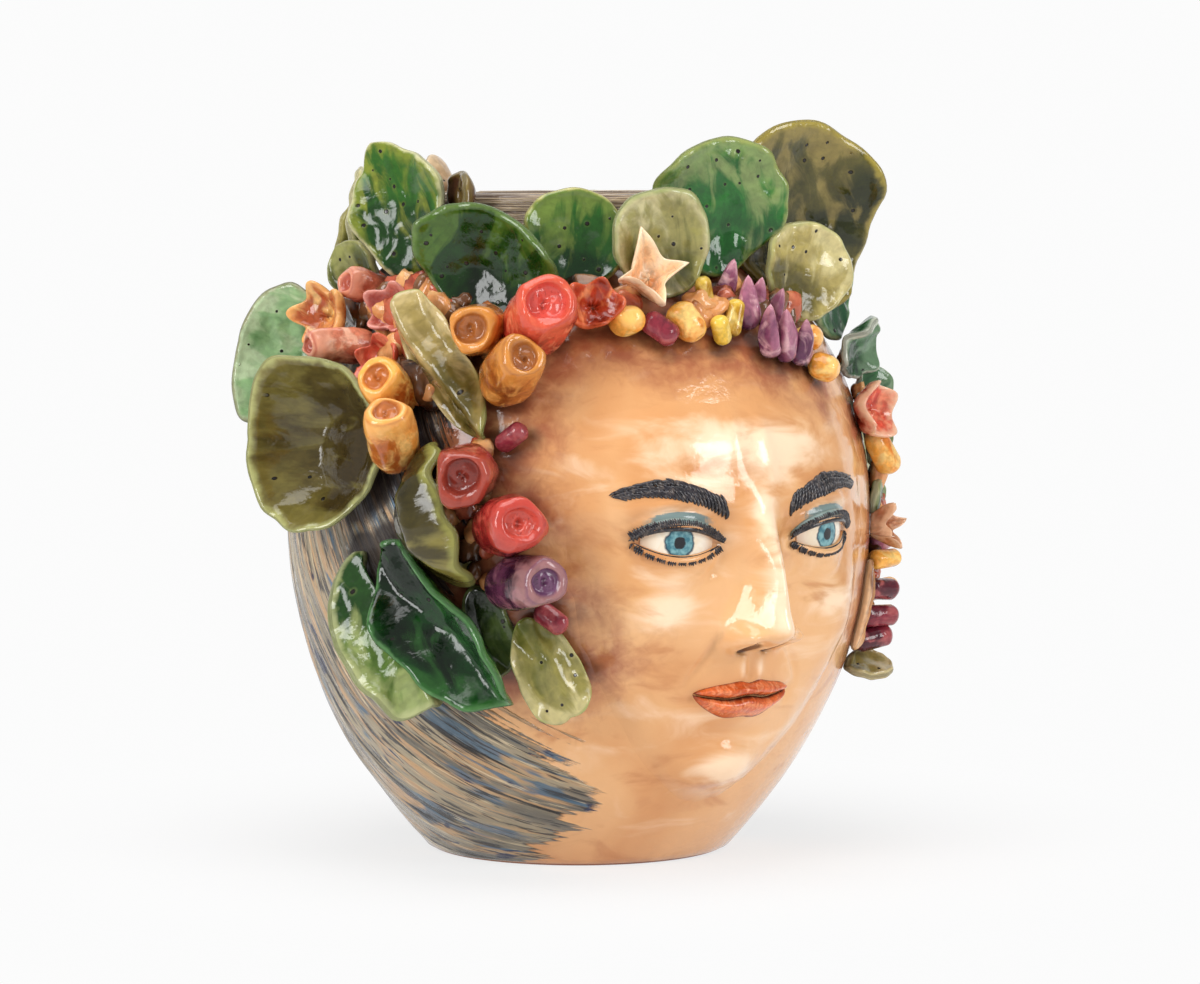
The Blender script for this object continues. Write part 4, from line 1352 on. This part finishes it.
# %% Lips
def lip(name, is_upper, node):
    up, full = (1, THIRD * 0.125) if is_upper else (-1, THIRD * 0.155)
    bm = bmesh.new()
    tone = bm.verts.layers.float_vector.new("tone")
    bmesh.ops.create_uvsphere(bm, u_segments=48, v_segments=72, radius=1)
    for v in bm.verts:
        s = math.asin(clamp(v.co.z, -1, 1)) / (math.pi / 2)
        x, phi = MOUTH_HALF * 1.02 * s, math.atan2(v.co.y, v.co.x)
        end = max(1 - s * s, 0)
        reach = full * end ** 0.7 - (2.6 * bump(x, 4.4) if is_upper else 0)
        part = 0.5 - 0.5 * math.cos(phi) * min(end * 8, 1) ** 0.5
        meet = MOUTH + 0.7 * bump(x, 5) - 0.6 * bump(abs(x) - 12, 6) + 2.4 * (1 - end) ** 2
        z = meet + up * (0.15 + reach * part)
        shape = math.sin(math.pi * clamp(part * 0.90 + 0.12)) ** 0.8
        body = 6.3 * (0.12 + 0.88 * end ** 0.5) * (1 - 0.25 * part) * shape
        body *= 1 + 0.10 * bump(x, 5) * (1 if is_upper else -1)
        high = max(math.sin(phi), -0.25) * body * min(end * 8, 1) ** 0.5
        v[tone] = Vector((x * MM, part, end))
        v.co = on_face(x, z, skin_height(x, z) + high)
    material, tree, shader = new_glaze(name + "_glaze")
    place = add(tree, "TexCoord").outputs["Object"]
    tones = add(tree, "SeparateXYZ", {0: read(tree, "tone")}).outputs
    folds = {0: calc(tree, "MULTIPLY", tones[0], 420.0), 1: calc(tree, "MULTIPLY", tones[1], 1.1)}
    fold = mottle(tree, add(tree, "CombineXYZ", folds).outputs[0], 1.0, 3, 0.4)
    coat = use(tree, patches, {"Place": place, "Deep": paint(198, 84, 36), "Body": paint(232, 116, 58),
                               "Thin": paint(246, 162, 112), "Patch Scale": 70.0, "Streaks": 0.6})
    colour = mix(tree, fade(tree, fold, 0.42, 0.28, 0.0, 0.6), coat["Color"], paint(168, 60, 28))
    edge = calc(tree, "ADD", tones[1], calc(tree, "MULTIPLY", fold, 0.16))
    colour = mix(tree, fade(tree, edge, 0.94, 1.08, 0.0, 0.85), colour, paint(98, 48, 34))
    colour = mix(tree, fade(tree, edge, 0.24, 0.10, 0.0, 0.92), colour, paint(70, 30, 24))
    colour = mix(tree, fade(tree, tones[2], 0.22, 0.02, 0.0, 0.8), colour, paint(84, 40, 30))
    wave = use(tree, fired, {"Place": place, "Waves": 0.5})
    high = calc(tree, "ADD", calc(tree, "MULTIPLY", fold, 0.8), wave["Height"])
    wire(tree, shader, colour, wave["Gloss"], high, 0.001, 0.6)
    return finish_piece(bm, name, material, [node])


print("lips", [len(lip(n, u, node).data.polygons) for n, u, node in
                (("lip_above", True, "upper_lip"), ("lip_below", False, "lower_lip"))], "faces")

# %% [markdown]
# ## Studio
# The photograph is a catalogue picture: a white sweep that runs from the table up behind the jar,
# big soft lights on both sides and one above. The sweep is one extruded line, with a round bend. It
# looks pale to the camera and in the glaze, and still takes the jar's soft shadow on its floor.

# %% White sweep
def sweep_white():
    material = bpy.data.materials.new("white_sweep")
    material.use_nodes = True
    tree = material.node_tree
    shader = tree.nodes["Principled BSDF"]
    shader.inputs["Base Color"].default_value = paint(238, 237, 237)
    shader.inputs["Roughness"].default_value = 0.9
    shader.inputs["Specular IOR Level"].default_value = 0.1
    lit = add(tree, "Emission", {"Color": (1, 1, 1, 1), "Strength": 0.97})
    path = add(tree, "LightPath").outputs
    seen = calc(tree, "MAXIMUM", path["Is Camera Ray"], path["Is Glossy Ray"])
    seen = calc(tree, "MAXIMUM", seen, path["Is Transmission Ray"])
    place = add(tree, "TexCoord").outputs["Object"]
    away = add(tree, "VectorMath", {0: place}, operation="LENGTH").outputs["Value"]
    far = fade(tree, away, 0.10, 0.34, 0.76, 1.0)
    glows = calc(tree, "MULTIPLY", seen, far)
    blend = add(tree, "MixShader", {0: glows, 1: shader.outputs[0], 2: lit.outputs[0]})
    tree.links.new(blend.outputs[0], tree.nodes["Material Output"].inputs["Surface"])
    return material


bm = bmesh.new()
line = [bm.verts.new((-3, y, 0)) for y in (-5, -1, 1, 2)]
bend = [math.radians(7.5 * i) for i in range(1, 13)]
line += [bm.verts.new((-3, 2 + math.sin(a), 1 - math.cos(a))) for a in bend]
line.append(bm.verts.new((-3, 3, 5)))
edges = [bm.edges.new(pair) for pair in zip(line, line[1:])]
swept = bmesh.ops.extrude_edge_only(bm, edges=edges)["geom"]
bmesh.ops.translate(bm, vec=(6, 0, 0), verts=[g for g in swept if isinstance(g, bmesh.types.BMVert)])
bmesh.ops.rotate(bm, cent=(0, 0, 0), matrix=Matrix.Rotation(math.radians(-35), 3, "Z"),
                 verts=bm.verts)
bmesh.ops.recalc_face_normals(bm, faces=bm.faces)
if sum(f.normal.z * f.calc_area() for f in bm.faces) < 0:
    bmesh.ops.reverse_faces(bm, faces=bm.faces)
mesh = bpy.data.meshes.new("sweep")
bm.to_mesh(mesh)
bm.free()
mesh.shade_smooth()
mesh.materials.append(sweep_white())
sweep = bpy.data.objects.new("sweep", mesh)
bpy.context.scene.collection.objects.link(sweep)
print("sweep", len(mesh.polygons), "faces")

# %% [markdown]
# The lights are large and near, because the glaze mirrors them: two soft boxes give the long clear
# highlights of the photograph, and the pale world fills the shadows. To the camera the world is as
# white as the sweep, so that the jar stands on white from every side.

# %% Lamps and world
def soft_box(name, place, target, wide, tall, watts):
    lamp = bpy.data.lights.new(name, "AREA")
    lamp.shape, lamp.size, lamp.size_y, lamp.energy = "RECTANGLE", wide, tall, watts
    box = bpy.data.objects.new(name, lamp)
    box.location = place
    box.rotation_euler = (Vector(target) - Vector(place)).to_track_quat("-Z", "Y").to_euler()
    bpy.context.scene.collection.objects.link(box)
    return box


soft_box("left_box", (-2.1, -0.4, 1.15), (0, 0, 0.2), 0.9, 1.3, 31)
soft_box("right_box", (0.75, -1.9, 0.95), (0, 0, 0.2), 0.7, 1.1, 20)
soft_box("top_box", (-0.2, -0.1, 1.7), (0, 0, 0.2), 1.3, 1.3, 17)
world = bpy.data.worlds.new("studio")
bpy.context.scene.world = world
world.use_nodes = True
tree = world.node_tree
path = add(tree, "LightPath").outputs
seen = calc(tree, "MAXIMUM", path["Is Camera Ray"], path["Is Transmission Ray"])
seen = calc(tree, "MAXIMUM", seen, calc(tree, "MULTIPLY", path["Is Glossy Ray"], 0.3))
tree.nodes["Background"].inputs["Color"].default_value = (1, 1, 1, 1)
tree.links.new(fade(tree, seen, 0.0, 1.0, 0.30, 0.97), tree.nodes["Background"].inputs["Strength"])

# %% [markdown]
# The camera stands where the photograph was taken: a long lens, a little above the middle of the
# jar and 35 degrees to the left of its face. The ellipses of the foot and the rim gave its height
# and distance.

# %% Camera
eye_place, eye_ahead = Vector((-1.3101, -1.8904, 0.3550)), Vector((0.5719, 0.8168, -0.0759))
view_from = bpy.data.cameras.new("photo_camera")
view_from.sensor_width = 36
view_from.lens = 4536 / 1200 * 36
view_from.clip_end = 50
camera = bpy.data.objects.new("photo_camera", view_from)
camera.location = eye_place
camera.rotation_euler = eye_ahead.to_track_quat("-Z", "Y").to_euler()
bpy.context.scene.collection.objects.link(camera)
bpy.context.scene.camera = camera
bpy.context.scene.view_settings.view_transform = "Standard"
print("lens", round(view_from.lens, 1), "mm")
